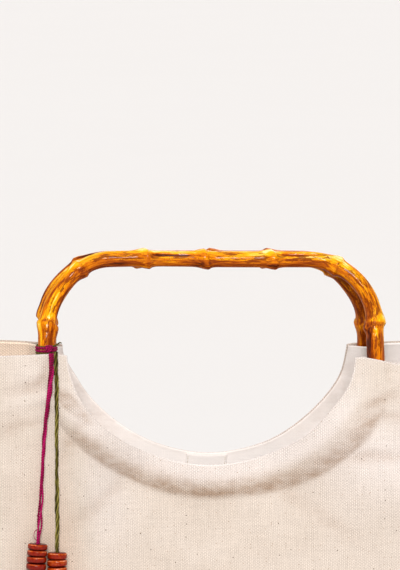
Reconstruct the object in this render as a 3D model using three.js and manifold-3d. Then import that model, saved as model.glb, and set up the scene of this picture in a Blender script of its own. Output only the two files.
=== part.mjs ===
// A canvas handbag: two scooped panels joined by a gusset, faced inside the rim, with a bamboo cane handle
// pocketed in each panel and two beaded cords tied round one leg of the front handle.
// Millimetres, +Z up, the front faces -Y. The origin is on the floor under the middle of the bag.
import * as THREE from "three";
import { mergeVertices } from "three/addons/utils/BufferGeometryUtils.js";
import Module from "manifold-3d";

const wasm = await Module();
wasm.setup();

// Driving dimensions
const GAP = 0.3; // air between neighbouring pieces
const CANVAS = 1.2; // thickness of one ply

const bag = {
  height: 290, // floor to the shoulders
  topHalfWidth: 158,
  baseHalfWidth: 168,
  cornerRadius: 30, // lower corners of both panels
  bellyHalfDepth: 57,
};

const scoop = { halfWidth: 89.3, depth: 69, power: 1.87 };

// The front shoulders sink towards the sides, and the cloth under them with them
const shoulder = { from: 86, to: 126, reach: 130 };
const FRONT_FALL = { left: 1, right: 5 };
const BACK_FALL = { left: 0, right: 0 };

// How far the rim stands from the middle plane, and how the cloth falls away outwards below it
const rim = { centre: 31, corner: 38, lean: 0.4, leanFrom: 35, leanTo: 88 };
const fall = { slope: 0.43, centreEase: 0.52 };

// The faced edge swells forward, then tucks under into a crease
const roll = { crease: 22, swell: 3.2, swellAt: 9, tuck: 4.2, recovery: 34, from: 0.2, to: 0.5 };

// The side and bottom seam that the gusset is sewn to
const seam = { topHalfDepth: 47, baseHalfDepth: 50, reach: 70, round: 3, roundLength: 6 };

const gusset = { dent: 16, dentDrop: 150, belly: 3 };

// The inner ply along the rim, wider over the shoulders, where it pockets the handle legs
const facing = { width: 26, shoulderExtra: 24 };
const pocket = { halfWidth: 15, depth: 15.2, slack: 5, fade: 18 };

const tab = { across: 2.5, width: 25, top: 1.5, bottom: 18, standOff: 0.4, rows: 5, columns: 4 };

const cane = {
  span: 204, // leg centre to leg centre
  rise: 62, // shoulders to the middle of the bar, along the leaning handle
  cornerRadius: 40,
  buried: 30, // length of leg inside the pocket
  barRadius: 4.95,
  legRadius: 5.45,
  lean: 22, // degrees
  legHalfDepth: 30.6, // middle of a leg where it passes the shoulders
  backSink: 1.8, // the back handle is pushed this much further in
  sides: 10,
};

// Swellings of the cane, measured along it from the middle of the bar
const CANE_NODES = [
  { at: -124.5, swell: 1.1 },
  { at: -82, swell: 1.4 },
  { at: -40, swell: 1.5 },
  { at: -3.5, swell: 1.5 },
  { at: 38, swell: 1.4 },
  { at: 81, swell: 1.45 },
  { at: 125.5, swell: 1.1 },
];
const nodeShape = { rise: 5, drop: 3 }; // lengths of a swelling before and after its node

// Soft folds in the panels: the centre across and below the shoulders, the turn in degrees, the half length
// and half width, and the depth outwards
const FRONT_FOLDS = [
  { across: 113, drop: 34, turn: 2, long: 15, wide: 3.5, deep: -1.3 },
  { across: 110, drop: 6, turn: 90, long: 8, wide: 2.6, deep: -0.9 },
  { across: -86, drop: 50, turn: 62, long: 16, wide: 5, deep: -1.6 },
  { across: -126, drop: 36, turn: 16, long: 26, wide: 6, deep: -1.2 },
  { across: 9, drop: 110, turn: 6, long: 26, wide: 12, deep: -1.6 },
  { across: -74, drop: 205, turn: 24, long: 48, wide: 15, deep: -2.4 },
  { across: 82, drop: 196, turn: -21, long: 52, wide: 15, deep: -2.4 },
  { across: 8, drop: 238, turn: 3, long: 70, wide: 14, deep: 1.6 },
];
const BACK_FOLDS = [
  { across: -112, drop: 35, turn: -3, long: 16, wide: 4, deep: -1.2 },
  { across: 118, drop: 40, turn: -14, long: 24, wide: 6, deep: -1.2 },
  { across: -18, drop: 118, turn: -8, long: 30, wide: 13, deep: -1.6 },
  { across: 80, drop: 208, turn: -24, long: 50, wide: 15, deep: -2.4 },
  { across: -84, drop: 192, turn: 20, long: 50, wide: 15, deep: -2.4 },
];

// Cords, their wraps round a handle leg and their beads
const cord = { radius: 1.2, sides: 8, steps: 22 };
const WRAPS = [
  { name: "olive_wrap_lower", colour: "olive", lift: 0.9, radius: 0.8 },
  { name: "magenta_wrap", colour: "magenta", lift: 3.6, radius: 1.5 },
  { name: "olive_wrap_upper", colour: "olive", lift: 6.2, radius: 0.7 },
];
const wrapMesh = { clearance: 0.5, turns: 16, sides: 6 };
const knot = { across: -100.8, halfDepth: 38.8, lift: 4.8, radius: 2.4 }; // on the magenta wrap
const endKnot = { radius: 2.4, squash: 0.85 };
const disc = { radius: 5.9, thickness: 4.1, round: 1.5 };
const ball = { radius: 5.4, halfHeight: 4.6, latitudes: [-55, -27, 0, 27, 55] };
const BEADS = ["disc", "disc", "disc", "disc", "ball"]; // from the top of a stack down
const bead = { bore: 1.65, sides: 10 };

// Routes of the two hanging cords, from the wraps to the last bead: across, half depth, height
const CORD_ROUTES = {
  magenta: [
    [-100.5, 40.4, 291.8],
    [-100.1, 41.5, 288.0],
    [-100.2, 44.1, 282.0],
    [-100.8, 47.4, 274.0],
    [-101.6, 50.3, 266.0],
    [-102.4, 52.2, 258.0],
    [-103.2, 53.7, 250.0],
    [-103.9, 54.9, 242.0],
    [-104.6, 55.9, 234.0],
    [-105.3, 56.8, 226.0],
    [-106.1, 57.8, 217.0],
    [-106.9, 58.8, 207.0],
    [-107.8, 59.7, 197.0],
    [-108.7, 60.6, 187.0],
    [-109.6, 61.4, 177.0],
    [-110.4, 61.9, 168.0],
    [-111.0, 62.2, 158.0],
    [-111.6, 62.4, 147.5],
  ],
  olive: [
    [-96.8, 40.0, 292.5],
    [-96.6, 41.3, 288.0],
    [-96.4, 43.8, 282.0],
    [-96.3, 47.0, 274.0],
    [-96.3, 49.9, 266.0],
    [-96.3, 52.4, 258.0],
    [-96.4, 53.5, 250.0],
    [-96.4, 54.4, 242.0],
    [-96.4, 55.2, 234.0],
    [-96.4, 55.9, 226.0],
    [-96.5, 56.7, 217.0],
    [-96.5, 57.5, 207.0],
    [-96.5, 58.3, 197.0],
    [-96.5, 59.1, 187.0],
    [-96.6, 59.8, 177.0],
    [-96.6, 60.3, 167.0],
    [-96.6, 60.8, 156.0],
    [-96.6, 61.2, 142.0],
  ],
};
const STACK_TOP = { magenta: 176.2, olive: 170.6 }; // height of the first bead's upper face

// Mesh density of the cloth
const grid = { creaseRows: 6, facingRows: 2, bellyRows: 5, gussetRows: 4 };
const SLEEVE_ANGLE = THREE.MathUtils.degToRad(25); // the pockets lie above this ray
const COLUMN_STEPS = { sleeve: 7, side: 4, corner: 3, base: 3 };

const FINISHES = {
  canvas: { color: 0xeaddcb, roughness: 0.92, metalness: 0, side: THREE.DoubleSide },
  cane: { color: 0xc8760f, roughness: 0.25, metalness: 0 },
  magenta: { color: 0xa8084f, roughness: 0.85, metalness: 0 },
  olive: { color: 0x6d6626, roughness: 0.85, metalness: 0 },
  red: { color: 0x9c2d14, roughness: 0.3, metalness: 0 },
  dark: { color: 0x2b1410, roughness: 0.35, metalness: 0 },
};

const { clamp, smoothstep, lerp, degToRad } = THREE.MathUtils;

// Geometry helpers

// A closed geometry from points and index triples, with its faces turned outwards.
function solid(points, triangles) {
  const volume = triangles.reduce((sum, [a, b, c]) => {
    return sum + points[a].dot(points[b].clone().cross(points[c]));
  }, 0);
  const faces = volume < 0 ? triangles.map(([a, b, c]) => [a, c, b]) : triangles;
  const geometry = new THREE.BufferGeometry().setFromPoints(points);
  geometry.setIndex(faces.flat());
  geometry.computeVertexNormals();
  return geometry;
}

// Two triangles for each cell of a grid of point numbers.
function gridFaces(at, rows, columns) {
  const faces = [];
  for (let i = 0; i < rows; i++) {
    for (let j = 0; j < columns; j++) {
      const [a, b, c, d] = [at(i, j), at(i, j + 1), at(i + 1, j + 1), at(i + 1, j)];
      faces.push([a, b, c], [a, c, d]);
    }
  }
  return faces;
}

// A sheet of cloth: outer and inner give the points of its two faces for a row and a column.
function sheet(outer, inner, rows, columns) {
  const wide = columns + 1;
  const count = (rows + 1) * wide;
  const points = [];
  for (const face of [outer, inner]) {
    for (let i = 0; i <= rows; i++) {
      for (let j = 0; j <= columns; j++) points.push(face(i, j));
    }
  }
  const front = (i, j) => i * wide + j;
  const back = (i, j) => count + front(i, j);
  const faces = gridFaces(front, rows, columns);
  for (const [a, b, c] of gridFaces(back, rows, columns)) faces.push([a, c, b]);
  const border = [];
  for (let j = 0; j < columns; j++) border.push([0, j]);
  for (let i = 0; i < rows; i++) border.push([i, columns]);
  for (let j = columns; j > 0; j--) border.push([rows, j]);
  for (let i = rows; i > 0; i--) border.push([i, 0]);
  border.forEach(([i, j], k) => {
    const [p, q] = border[(k + 1) % border.length];
    faces.push([front(i, j), back(i, j), back(p, q)], [front(i, j), back(p, q), front(p, q)]);
  });
  return solid(points, faces);
}

// A tube through rings of points, capped at both ends.
function tube(rings) {
  const sides = rings[0].length;
  const last = rings.length - 1;
  const at = (i, j) => i * sides + (j % sides);
  const faces = gridFaces(at, last, sides);
  for (let j = 1; j < sides - 1; j++) {
    faces.push([at(0, 0), at(0, j + 1), at(0, j)], [at(last, 0), at(last, j), at(last, j + 1)]);
  }
  return solid(rings.flat(), faces);
}

// A ring of points round a centre, in the plane of two directions.
function ring(centre, across, up, radius, sides) {
  return Array.from({ length: sides }, (_, k) => {
    const turn = (2 * Math.PI * k) / sides;
    return centre
      .clone()
      .addScaledVector(across, radius * Math.cos(turn))
      .addScaledVector(up, radius * Math.sin(turn));
  });
}

// The union of two closed geometries.
function union(a, b) {
  const [first, second] = [a, b].map((geometry) => {
    const bare = new THREE.BufferGeometry();
    bare.setAttribute("position", geometry.getAttribute("position"));
    bare.setIndex(geometry.index);
    const merged = mergeVertices(bare);
    const vertProperties = new Float32Array(merged.getAttribute("position").array);
    const triVerts = new Uint32Array(merged.index.array);
    return new wasm.Manifold(new wasm.Mesh({ numProp: 3, vertProperties, triVerts }));
  });
  const mesh = first.add(second).getMesh();
  const geometry = new THREE.BufferGeometry();
  geometry.setAttribute("position", new THREE.BufferAttribute(mesh.vertProperties, 3));
  geometry.setIndex(new THREE.BufferAttribute(mesh.triVerts, 1));
  geometry.computeVertexNormals();
  return geometry;
}

// Shape of the panels. A place on a panel is a ray from the middle of the shoulder line, by its angle below
// that line, from 0 at the right shoulder to half a turn at the left, and a distance inwards from the scoop.

function scoopRadius(angle) {
  const across = Math.abs(Math.cos(angle) / scoop.halfWidth) ** scoop.power;
  const down = Math.abs(Math.sin(angle) / scoop.depth) ** scoop.power;
  return (across + down) ** (-1 / scoop.power);
}

// The round lower corner of a panel: its centre, and the angles of the rays between which it lies
const flare = (bag.baseHalfWidth - bag.topHalfWidth) / bag.height;
const slant = Math.hypot(1, flare);
const corner = { drop: bag.height - bag.cornerRadius };
corner.across = bag.topHalfWidth + flare * corner.drop - bag.cornerRadius * slant;
corner.sideDrop = corner.drop - (flare * bag.cornerRadius) / slant;
corner.from = Math.atan2(corner.sideDrop, bag.topHalfWidth + flare * corner.sideDrop);
corner.to = Math.atan2(bag.height, corner.across);

// Where a ray leaves the panel: at a leaning side, a round corner or the flat bottom.
function outlineRadius(angle) {
  const folded = Math.min(angle, Math.PI - angle);
  const [across, down] = [Math.cos(folded), Math.sin(folded)];
  if (folded <= corner.from) return bag.topHalfWidth / (across - flare * down);
  if (folded >= corner.to) return bag.height / down;
  const along = across * corner.across + down * corner.drop;
  return along + Math.sqrt(along ** 2 - corner.across ** 2 - corner.drop ** 2 + bag.cornerRadius ** 2);
}

function rimHalfDepth(angle) {
  const edge = scoopRadius(angle);
  const across = edge * Math.abs(Math.cos(angle));
  const spread = (rim.corner - rim.centre) * (across / scoop.halfWidth) ** 2;
  const leaning = rim.lean * edge * Math.sin(angle) * smoothstep(across, rim.leanFrom, rim.leanTo);
  return rim.centre + spread + leaning;
}

// How far the cloth has sunk at a place on a panel.
function shoulderFall(fall, across, drop) {
  const most = across > 0 ? fall.right : fall.left;
  const outwards = smoothstep(Math.abs(across), shoulder.from, shoulder.to);
  return most * outwards * (1 - smoothstep(drop, 0, shoulder.reach));
}

function seamHalfDepth(drop) {
  return lerp(seam.topHalfDepth, seam.baseHalfDepth, drop / bag.height);
}

// Rises as given at first, then levels off at the limit.
function levelOff(value, limit) {
  return value / (1 + (value / limit) ** 6) ** (1 / 6);
}

// The swell and the crease that run along the scoop, fading out towards the shoulders.
function rimRoll(angle, inward) {
  const strength = smoothstep(Math.sin(angle), roll.from, roll.to);
  if (inward >= roll.crease) return -strength * roll.tuck * Math.exp((roll.crease - inward) / roll.recovery);
  const swell = roll.swell * Math.sin((Math.PI * Math.min(inward, roll.swellAt)) / (2 * roll.swellAt));
  const tucked = Math.max(0, (inward - roll.swellAt) / (roll.crease - roll.swellAt)) ** 1.6;
  return strength * lerp(swell, -roll.tuck, tucked);
}

function foldDepth(folds, across, drop) {
  return folds.reduce((sum, fold) => {
    const turn = degToRad(fold.turn);
    const [dx, dz] = [across - fold.across, fold.drop - drop];
    const along = (dx * Math.cos(turn) + dz * Math.sin(turn)) / fold.long;
    const over = (dz * Math.cos(turn) - dx * Math.sin(turn)) / fold.wide;
    return sum + fold.deep * Math.exp(-(along ** 2) - over ** 2);
  }, 0);
}

function halfDepth(folds, angle, inward) {
  const edge = scoopRadius(angle);
  const reach = edge + inward;
  const [across, drop] = [reach * Math.cos(angle), reach * Math.sin(angle)];
  const start = rimHalfDepth(angle);
  const slope = fall.slope * Math.sqrt(Math.sin(angle)) * (1 - fall.centreEase * Math.sin(angle) ** 2);
  const cloth = start + levelOff(slope * inward, bag.bellyHalfDepth - start) + rimRoll(angle, inward);
  const border = Math.max(outlineRadius(angle) - reach, 0);
  const pull = Math.max(0, 1 - border / seam.reach) ** 2;
  const folded = cloth + foldDepth(folds, across, drop) * Math.min(1, border / seam.reach);
  const rounding = seam.round * Math.exp(-border / seam.roundLength);
  return lerp(folded, seamHalfDepth(drop) + seam.round, pull) - rounding;
}

// A panel's outer face: side is -1 in front and 1 behind.
function clothPoint({ side, folds, fall }, angle, inward) {
  const reach = scoopRadius(angle) + inward;
  const [across, drop] = [reach * Math.cos(angle), reach * Math.sin(angle)];
  const height = bag.height - drop - shoulderFall(fall, across, drop);
  return new THREE.Vector3(across, side * halfDepth(folds, angle, inward), height);
}

function clothNormal(face, angle, inward) {
  const [turn, step] = [0.004, 0.4];
  const from = (a, q) => clothPoint(face, clamp(a, 0, Math.PI), Math.max(q, 0));
  const round = from(angle + turn, inward).sub(from(angle - turn, inward));
  const out = from(angle, inward + step).sub(from(angle, inward - step));
  const normal = round.cross(out).normalize();
  return normal.multiplyScalar(Math.sign(normal.y) * face.side);
}

// Columns of the cloth grids, from the right shoulder round to the left one
const columnAngles = [0];
const spans = [
  [SLEEVE_ANGLE, COLUMN_STEPS.sleeve],
  [corner.from, COLUMN_STEPS.side],
  [corner.to, COLUMN_STEPS.corner],
  [Math.PI / 2, COLUMN_STEPS.base],
];
for (const [to, steps] of spans) {
  const from = columnAngles.at(-1);
  for (let k = 1; k <= steps; k++) columnAngles.push(lerp(from, to, k / steps));
}
for (const angle of columnAngles.slice(0, -1).reverse()) columnAngles.push(Math.PI - angle);
const columns = columnAngles.length - 1;

const facingRows = grid.creaseRows + grid.facingRows;
const panelRows = facingRows + grid.bellyRows;

// Rows run parallel to the scoop as far as the crease, then spread to the facing's edge and to the outline.
function rowInward(angle, row) {
  const faced = facing.width + facing.shoulderExtra * Math.cos(angle) ** 2;
  if (row <= grid.creaseRows) return (roll.crease * row) / grid.creaseRows;
  if (row <= facingRows) return lerp(roll.crease, faced, (row - grid.creaseRows) / grid.facingRows);
  const share = (row - facingRows) / grid.bellyRows;
  return lerp(faced, outlineRadius(angle) - scoopRadius(angle), Math.sin((share * Math.PI) / 2) ** 1.2);
}

// Canvas pieces

function panelGeometry(face) {
  const place = (row, column) => [columnAngles[column], rowInward(columnAngles[column], row)];
  const outer = (row, column) => clothPoint(face, ...place(row, column));
  const inner = (row, column) => {
    return outer(row, column).addScaledVector(clothNormal(face, ...place(row, column)), -CANVAS);
  };
  return sheet(outer, inner, panelRows, columns);
}

// How far the facing stands off the panel to make room for a handle leg.
function pocketDepth(across, drop) {
  const off = Math.min(Math.abs(Math.abs(across) - cane.span / 2) / pocket.halfWidth, 1);
  const bottom = cane.buried * Math.cos(degToRad(cane.lean)) + pocket.slack;
  const open = 1 - smoothstep(drop, bottom, bottom + pocket.fade);
  return pocket.depth * open * Math.cos((off * Math.PI) / 2) ** 2;
}

// The inside of the facing, a given depth of cloth behind the panel's outer face.
function facingPoint(face, angle, inward, behind) {
  const point = clothPoint(face, angle, inward);
  point.addScaledVector(clothNormal(face, angle, inward), -behind);
  point.y -= face.side * pocketDepth(point.x, bag.height - point.z);
  return point;
}

function facingGeometry(face) {
  const at = (behind) => (row, column) => {
    return facingPoint(face, columnAngles[column], rowInward(columnAngles[column], row), behind);
  };
  const near = CANVAS + GAP;
  return sheet(at(near), at(near + CANVAS), facingRows, columns);
}

function gussetGeometry() {
  const point = (behind) => (row, column) => {
    const angle = columnAngles[column];
    const reach = outlineRadius(angle);
    const [across, drop] = [reach * Math.cos(angle), reach * Math.sin(angle)];
    const share = (2 * row) / grid.gussetRows - 1;
    const half = seamHalfDepth(drop) - CANVAS - GAP;
    const upright = 1 - smoothstep(drop, bag.height - 2 * bag.cornerRadius, bag.height - bag.cornerRadius);
    const dent = gusset.dent * (1 - smoothstep(drop, 0, gusset.dentDrop)) - gusset.belly * upright;
    const inwards = behind + Math.max(-gusset.belly, dent) * (1 - share ** 2) ** 2 * upright;
    const [front, back] = [FRONT_FALL, BACK_FALL].map((fall) => shoulderFall(fall, across, drop));
    const height = bag.height - drop - lerp(front, back, row / grid.gussetRows);
    return new THREE.Vector3(across, share * half, height).addScaledVector(outlineNormal(angle), inwards);
  };
  return sheet(point(0), point(CANVAS), grid.gussetRows, columns);
}

// The direction from the outline into the bag, square to the outline, in the plane of the panels.
function outlineNormal(angle) {
  const step = 1e-3;
  const at = (a) => {
    const reach = outlineRadius(clamp(a, 0, Math.PI));
    return new THREE.Vector3(reach * Math.cos(a), 0, -reach * Math.sin(a));
  };
  const along = at(Math.min(angle + step, Math.PI)).sub(at(Math.max(angle - step, 0))).normalize();
  return new THREE.Vector3(along.z, 0, -along.x);
}

// The tab sewn to the middle of the back facing.
function tabGeometry(face) {
  const near = 2 * (CANVAS + GAP) + tab.standOff;
  const at = (behind) => (row, column) => {
    const across = tab.across + tab.width * (column / tab.columns - 0.5);
    const inward = lerp(tab.top, tab.bottom, row / tab.rows);
    const angle = Math.PI / 2 - Math.atan2(across, scoop.depth + inward);
    return facingPoint(face, angle, inward, behind);
  };
  return sheet(at(near), at(near + CANVAS), tab.rows, tab.columns);
}

// Bamboo handles

const canePath = new THREE.Path();
{
  const half = cane.span / 2;
  const bend = half - cane.cornerRadius;
  const spring = cane.rise - cane.cornerRadius;
  canePath.moveTo(-half, -cane.buried);
  canePath.lineTo(-half, spring);
  canePath.absarc(-bend, spring, cane.cornerRadius, Math.PI, Math.PI / 2, true);
  canePath.lineTo(bend, cane.rise);
  canePath.absarc(bend, spring, cane.cornerRadius, Math.PI / 2, 0, true);
  canePath.lineTo(half, -cane.buried);
}
const caneLength = canePath.getLength();

function caneRadius(at) {
  const leg = smoothstep(Math.abs(at), caneLength / 4, caneLength / 2.4);
  const swell = CANE_NODES.reduce((sum, node) => {
    const off = at - node.at;
    return sum + node.swell * Math.exp(-((off / (off < 0 ? nodeShape.rise : nodeShape.drop)) ** 2));
  }, 0);
  return lerp(cane.barRadius, cane.legRadius, leg) + swell;
}

// Sections of the cane stand close together at its nodes and every few millimetres in the bends.
function caneSections() {
  const half = caneLength / 2;
  const sections = [-half, -half + 20, half - 20, half];
  for (const { at } of CANE_NODES) {
    sections.push(at - nodeShape.rise, at - nodeShape.rise / 2, at, at + nodeShape.drop);
  }
  CANE_NODES.slice(1).forEach((node, k) => {
    const before = CANE_NODES[k].at + nodeShape.drop;
    const space = node.at - nodeShape.rise - before;
    const steps = Math.abs(node.at + CANE_NODES[k].at) > cane.span - 2 * cane.cornerRadius ? 4 : 3;
    for (let step = 1; step < steps; step++) sections.push(before + (space * step) / steps);
  });
  return sections.sort((a, b) => a - b);
}

function caneGeometry() {
  const depthwise = new THREE.Vector3(0, 1, 0);
  const rings = caneSections().map((at) => {
    const share = clamp(at / caneLength + 0.5, 0, 1);
    const middle = canePath.getPointAt(share);
    const along = canePath.getTangentAt(share);
    const outwards = new THREE.Vector3(-along.y, 0, along.x);
    return ring(new THREE.Vector3(middle.x, 0, middle.y), outwards, depthwise, caneRadius(at), cane.sides);
  });
  return tube(rings);
}

// Cords, wraps and beads

function routePoint([across, half, height]) {
  return new THREE.Vector3(across, -half, height);
}

function cordGeometry(route) {
  const section = new THREE.Shape();
  for (let k = 0; k < cord.sides; k++) {
    const turn = (2 * Math.PI * k) / cord.sides;
    const [x, y] = [cord.radius * Math.cos(turn), cord.radius * Math.sin(turn)];
    if (k === 0) section.moveTo(x, y);
    else section.lineTo(x, y);
  }
  const extrudePath = new THREE.CatmullRomCurve3(route.map(routePoint));
  return new THREE.ExtrudeGeometry(section, { steps: cord.steps, bevelEnabled: false, extrudePath });
}

// A level loop of cord round the leaning left leg of the front handle.
function wrapGeometry({ lift, radius }) {
  const tilt = degToRad(cane.lean);
  const stand = wrapMesh.clearance + radius;
  const reach = cane.legRadius + stand;
  const depthReach = cane.legRadius / Math.cos(tilt) + stand;
  const loop = new THREE.TorusGeometry(reach, radius, wrapMesh.sides, wrapMesh.turns);
  loop.scale(1, depthReach / reach, 1);
  return loop.translate(-cane.span / 2, lift * Math.tan(tilt) - cane.legHalfDepth, bag.height + lift);
}

function knotGeometry() {
  const geometry = new THREE.SphereGeometry(knot.radius, 10, 6);
  return geometry.translate(knot.across, -knot.halfDepth, bag.height + knot.lift);
}

// Half the section of a bead, from its bore outwards, turned about the bead's axis.
function beadGeometry(kind) {
  const profile = [];
  if (kind === "disc") {
    const [flat, half] = [disc.radius - disc.round, disc.thickness / 2];
    profile.push([bead.bore, -half], [flat, -half], [disc.radius, disc.round - half]);
    profile.push([disc.radius, half - disc.round], [flat, half], [bead.bore, half]);
  } else {
    const mouth = ball.halfHeight * Math.sqrt(1 - (bead.bore / ball.radius) ** 2);
    profile.push([bead.bore, -mouth]);
    for (const turn of ball.latitudes.map((degrees) => degToRad(degrees))) {
      profile.push([ball.radius * Math.cos(turn), ball.halfHeight * Math.sin(turn)]);
    }
    profile.push([bead.bore, mouth]);
  }
  const outline = [...profile, profile[0]].map(([r, z]) => new THREE.Vector2(r, z));
  return new THREE.LatheGeometry(outline, bead.sides).rotateX(Math.PI / 2);
}

// The place on a route at a height, and the direction of the cord there.
function routePlace(route, height) {
  const below = route.findIndex(([, , z]) => z <= height);
  const [low, high] = [routePoint(route[below]), routePoint(route[below - 1])];
  const along = high.sub(low);
  const middle = low.clone().addScaledVector(along, (height - low.z) / along.z);
  return { middle, along: along.normalize() };
}

function strungBeads(colour) {
  const upward = new THREE.Vector3(0, 0, 1);
  let top = STACK_TOP[colour];
  return BEADS.map((kind, k) => {
    const half = kind === "disc" ? disc.thickness / 2 : ball.halfHeight;
    const { middle, along } = routePlace(CORD_ROUTES[colour], top - half);
    top -= 2 * half + GAP;
    const mesh = piece(`${colour}_bead_${k + 1}`, beadGeometry(kind), kind === "disc" ? "red" : "dark");
    mesh.position.copy(middle);
    mesh.quaternion.setFromUnitVectors(upward, along);
    return mesh;
  });
}

// The knot that stops the beads, just past the cord's end.
function endKnotMesh(colour) {
  const [across, half, height] = CORD_ROUTES[colour].at(-1);
  const mesh = piece(`${colour}_end_knot`, new THREE.SphereGeometry(endKnot.radius, 10, 6), colour);
  mesh.scale.z = endKnot.squash;
  mesh.position.set(across, -half, height - GAP - endKnot.radius * endKnot.squash);
  return mesh;
}

// Assembly

function piece(name, geometry, finish) {
  const mesh = new THREE.Mesh(geometry, new THREE.MeshStandardMaterial(FINISHES[finish]));
  mesh.name = name;
  return mesh;
}

const handbag = new THREE.Group();

const sides = {
  front: { side: -1, folds: FRONT_FOLDS, fall: FRONT_FALL },
  back: { side: 1, folds: BACK_FOLDS, fall: BACK_FALL },
};
for (const [word, face] of Object.entries(sides)) {
  handbag.add(piece(`${word}_panel`, panelGeometry(face), "canvas"));
  handbag.add(piece(`${word}_facing`, facingGeometry(face), "canvas"));
}
handbag.add(piece("gusset", gussetGeometry(), "canvas"));
handbag.add(piece("inner_tab", tabGeometry(sides.back), "canvas"));

// Each handle stands in its own leaning frame; the back one is the same cane turned round.
for (const [word, { side }] of Object.entries(sides)) {
  const frame = new THREE.Group();
  frame.position.set(0, side * cane.legHalfDepth, bag.height);
  frame.rotation.set(-degToRad(cane.lean), 0, side > 0 ? Math.PI : 0, "ZYX");
  const handle = piece(`${word}_handle`, caneGeometry(), "cane");
  handle.position.z = side > 0 ? -cane.backSink : 0;
  frame.add(handle);
  handbag.add(frame);
}

for (const wrap of WRAPS) {
  const loop = wrapGeometry(wrap);
  const geometry = wrap.colour === "magenta" ? union(loop, knotGeometry()) : loop;
  handbag.add(piece(wrap.name, geometry, wrap.colour));
}
for (const [colour, route] of Object.entries(CORD_ROUTES)) {
  handbag.add(piece(`${colour}_cord`, cordGeometry(route), colour));
  handbag.add(...strungBeads(colour), endKnotMesh(colour));
}

export default handbag;
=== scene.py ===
"""Canvas handbag with bamboo handles: the looks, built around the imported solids.

Lengths are in millimetres until a mesh is made, and MM turns them into metres. X is to the right, Z is up
and the front faces -Y. The cloth follows the formulas of the solids on a finer grid, with small changes of
size and place that the photo shows.
"""
import math

import bpy
import numpy as np
from mathutils import Matrix, Vector


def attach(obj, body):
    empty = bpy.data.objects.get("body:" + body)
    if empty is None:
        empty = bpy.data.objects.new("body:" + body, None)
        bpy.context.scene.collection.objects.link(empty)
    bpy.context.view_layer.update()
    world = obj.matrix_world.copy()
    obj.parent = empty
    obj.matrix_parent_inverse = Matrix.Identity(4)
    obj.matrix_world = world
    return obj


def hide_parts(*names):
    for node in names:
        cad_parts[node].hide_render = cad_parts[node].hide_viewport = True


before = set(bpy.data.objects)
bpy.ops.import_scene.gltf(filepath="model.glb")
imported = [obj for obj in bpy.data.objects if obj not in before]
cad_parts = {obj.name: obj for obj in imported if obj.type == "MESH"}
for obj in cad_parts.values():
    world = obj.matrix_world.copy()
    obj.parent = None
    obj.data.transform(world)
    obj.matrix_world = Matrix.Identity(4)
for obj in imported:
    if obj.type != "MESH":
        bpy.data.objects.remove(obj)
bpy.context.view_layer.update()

MM = 0.001

# Sizes of the bag, the same as in the solids or close to them, with a few that only the scene has
PLY = 1.2
GAP = 0.3
BAG = {"height": 290, "top_half_width": 158, "base_half_width": 168, "corner_radius": 30,
       "belly_half_depth": 57}
SCOOP = {"half_width": 89.3, "depth": 69, "power": 1.87}
SHOULDER = {"from": 86, "to": 126, "reach": 130}
RIM = {"centre": 31, "corner": 38, "lean": 0.4, "lean_from": 35, "lean_to": 88}
FALL = {"slope": 0.43, "centre_ease": 0.52}
ROLL = {"crease": 22, "swell": 3.2, "swell_at": 9, "tuck": 4.2, "recovery": 34, "from": 0.1, "to": 0.42}
SEAM = {"top_half_depth": 47, "base_half_depth": 50, "reach": 70, "round": 3, "round_length": 6,
        "overlap": 0.45}
GUSSET = {"dent": 16, "dent_drop": 150, "belly": 3, "slack": 0.35, "pucker": 0.25, "seed": 41}
FACING = {"width": 26, "shoulder_extra": 24, "swollen": 0.1}
POCKET = {"half_width": 15, "depth": 15.8, "slack": 5, "fade": 18}
TAB = {"across": -1.6, "width": 26, "top": 0.8, "bottom": 18, "stand_off": 0.1}
CANE = {"span": 204, "rise": 62, "corner_radius": 40, "buried": 30, "bar_radius": 4.95, "leg_radius": 5.45,
        "lean": math.radians(22), "leg_half_depth": 30.6, "back_sink": 1.3, "shift_rise": 45}
# Stitches down each side of the tab
STITCH = {"inset": 1.3, "first": 1.4, "last": 2.6, "step": 2.9, "length": 2.2, "radius": 0.24, "bow": 0.16,
          "stand_off": 0.12}
# How far the back cane stands to the right at its left leg, its right leg and its bar
BACK_SHIFT = {"left": 4.0, "right": 0.6, "top": -1.8}
# Flatter stretches of each cane's bends: place along it, half length and depth
FLAT_BENDS = {"front": [(-100, 24, 3.4)], "back": [(-100, 24, 3.4), (100, 24, 4.2)]}

# Folds of each panel: across, drop below the shoulders, turn in degrees, half length, half width and depth
# outwards
FRONT_FOLDS = [
    (113, 34, 2, 15, 3.5, -1.3), (110, 6, 90, 8, 2.6, -0.9), (-86, 50, 62, 16, 5, -1.6),
    (-126, 36, 16, 26, 6, -1.2), (9, 110, 6, 26, 12, -1.6), (-74, 205, 24, 48, 15, -2.4),
    (82, 196, -21, 52, 15, -2.4), (8, 238, 3, 70, 14, 1.6),
]
BACK_FOLDS = [
    (-112, 35, -3, 16, 4, -1.2), (118, 40, -14, 24, 6, -1.2), (-18, 118, -8, 30, 13, -1.6),
    (80, 208, -24, 50, 15, -2.4), (-84, 192, 20, 50, 15, -2.4),
]
# Small creases that only the cloth shows, in the same order
FRONT_CREASES = [
    (-112, 19, 10, 16, 4.2, -2.00), (-115, 28, 12, 17, 3.0, 1.80), (-128, 46, 18, 22, 4.0, -1.80),
    (-104, 12, 70, 9, 3.0, -1.30), (-87, 26, -46, 8, 2.4, -1.50), (-70, 92, 38, 34, 5.0, -0.80),
    (66, 98, -33, 34, 5.0, -0.80), (104, 60, 8, 24, 4.0, -1.50), (106, 25, 32, 12, 4.0, -2.20),
    (-40, 150, 14, 40, 7.0, -0.70), (48, 158, -12, 38, 7.0, -0.70), (-89, 29, -40, 13, 3.2, -3.20),
]
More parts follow.
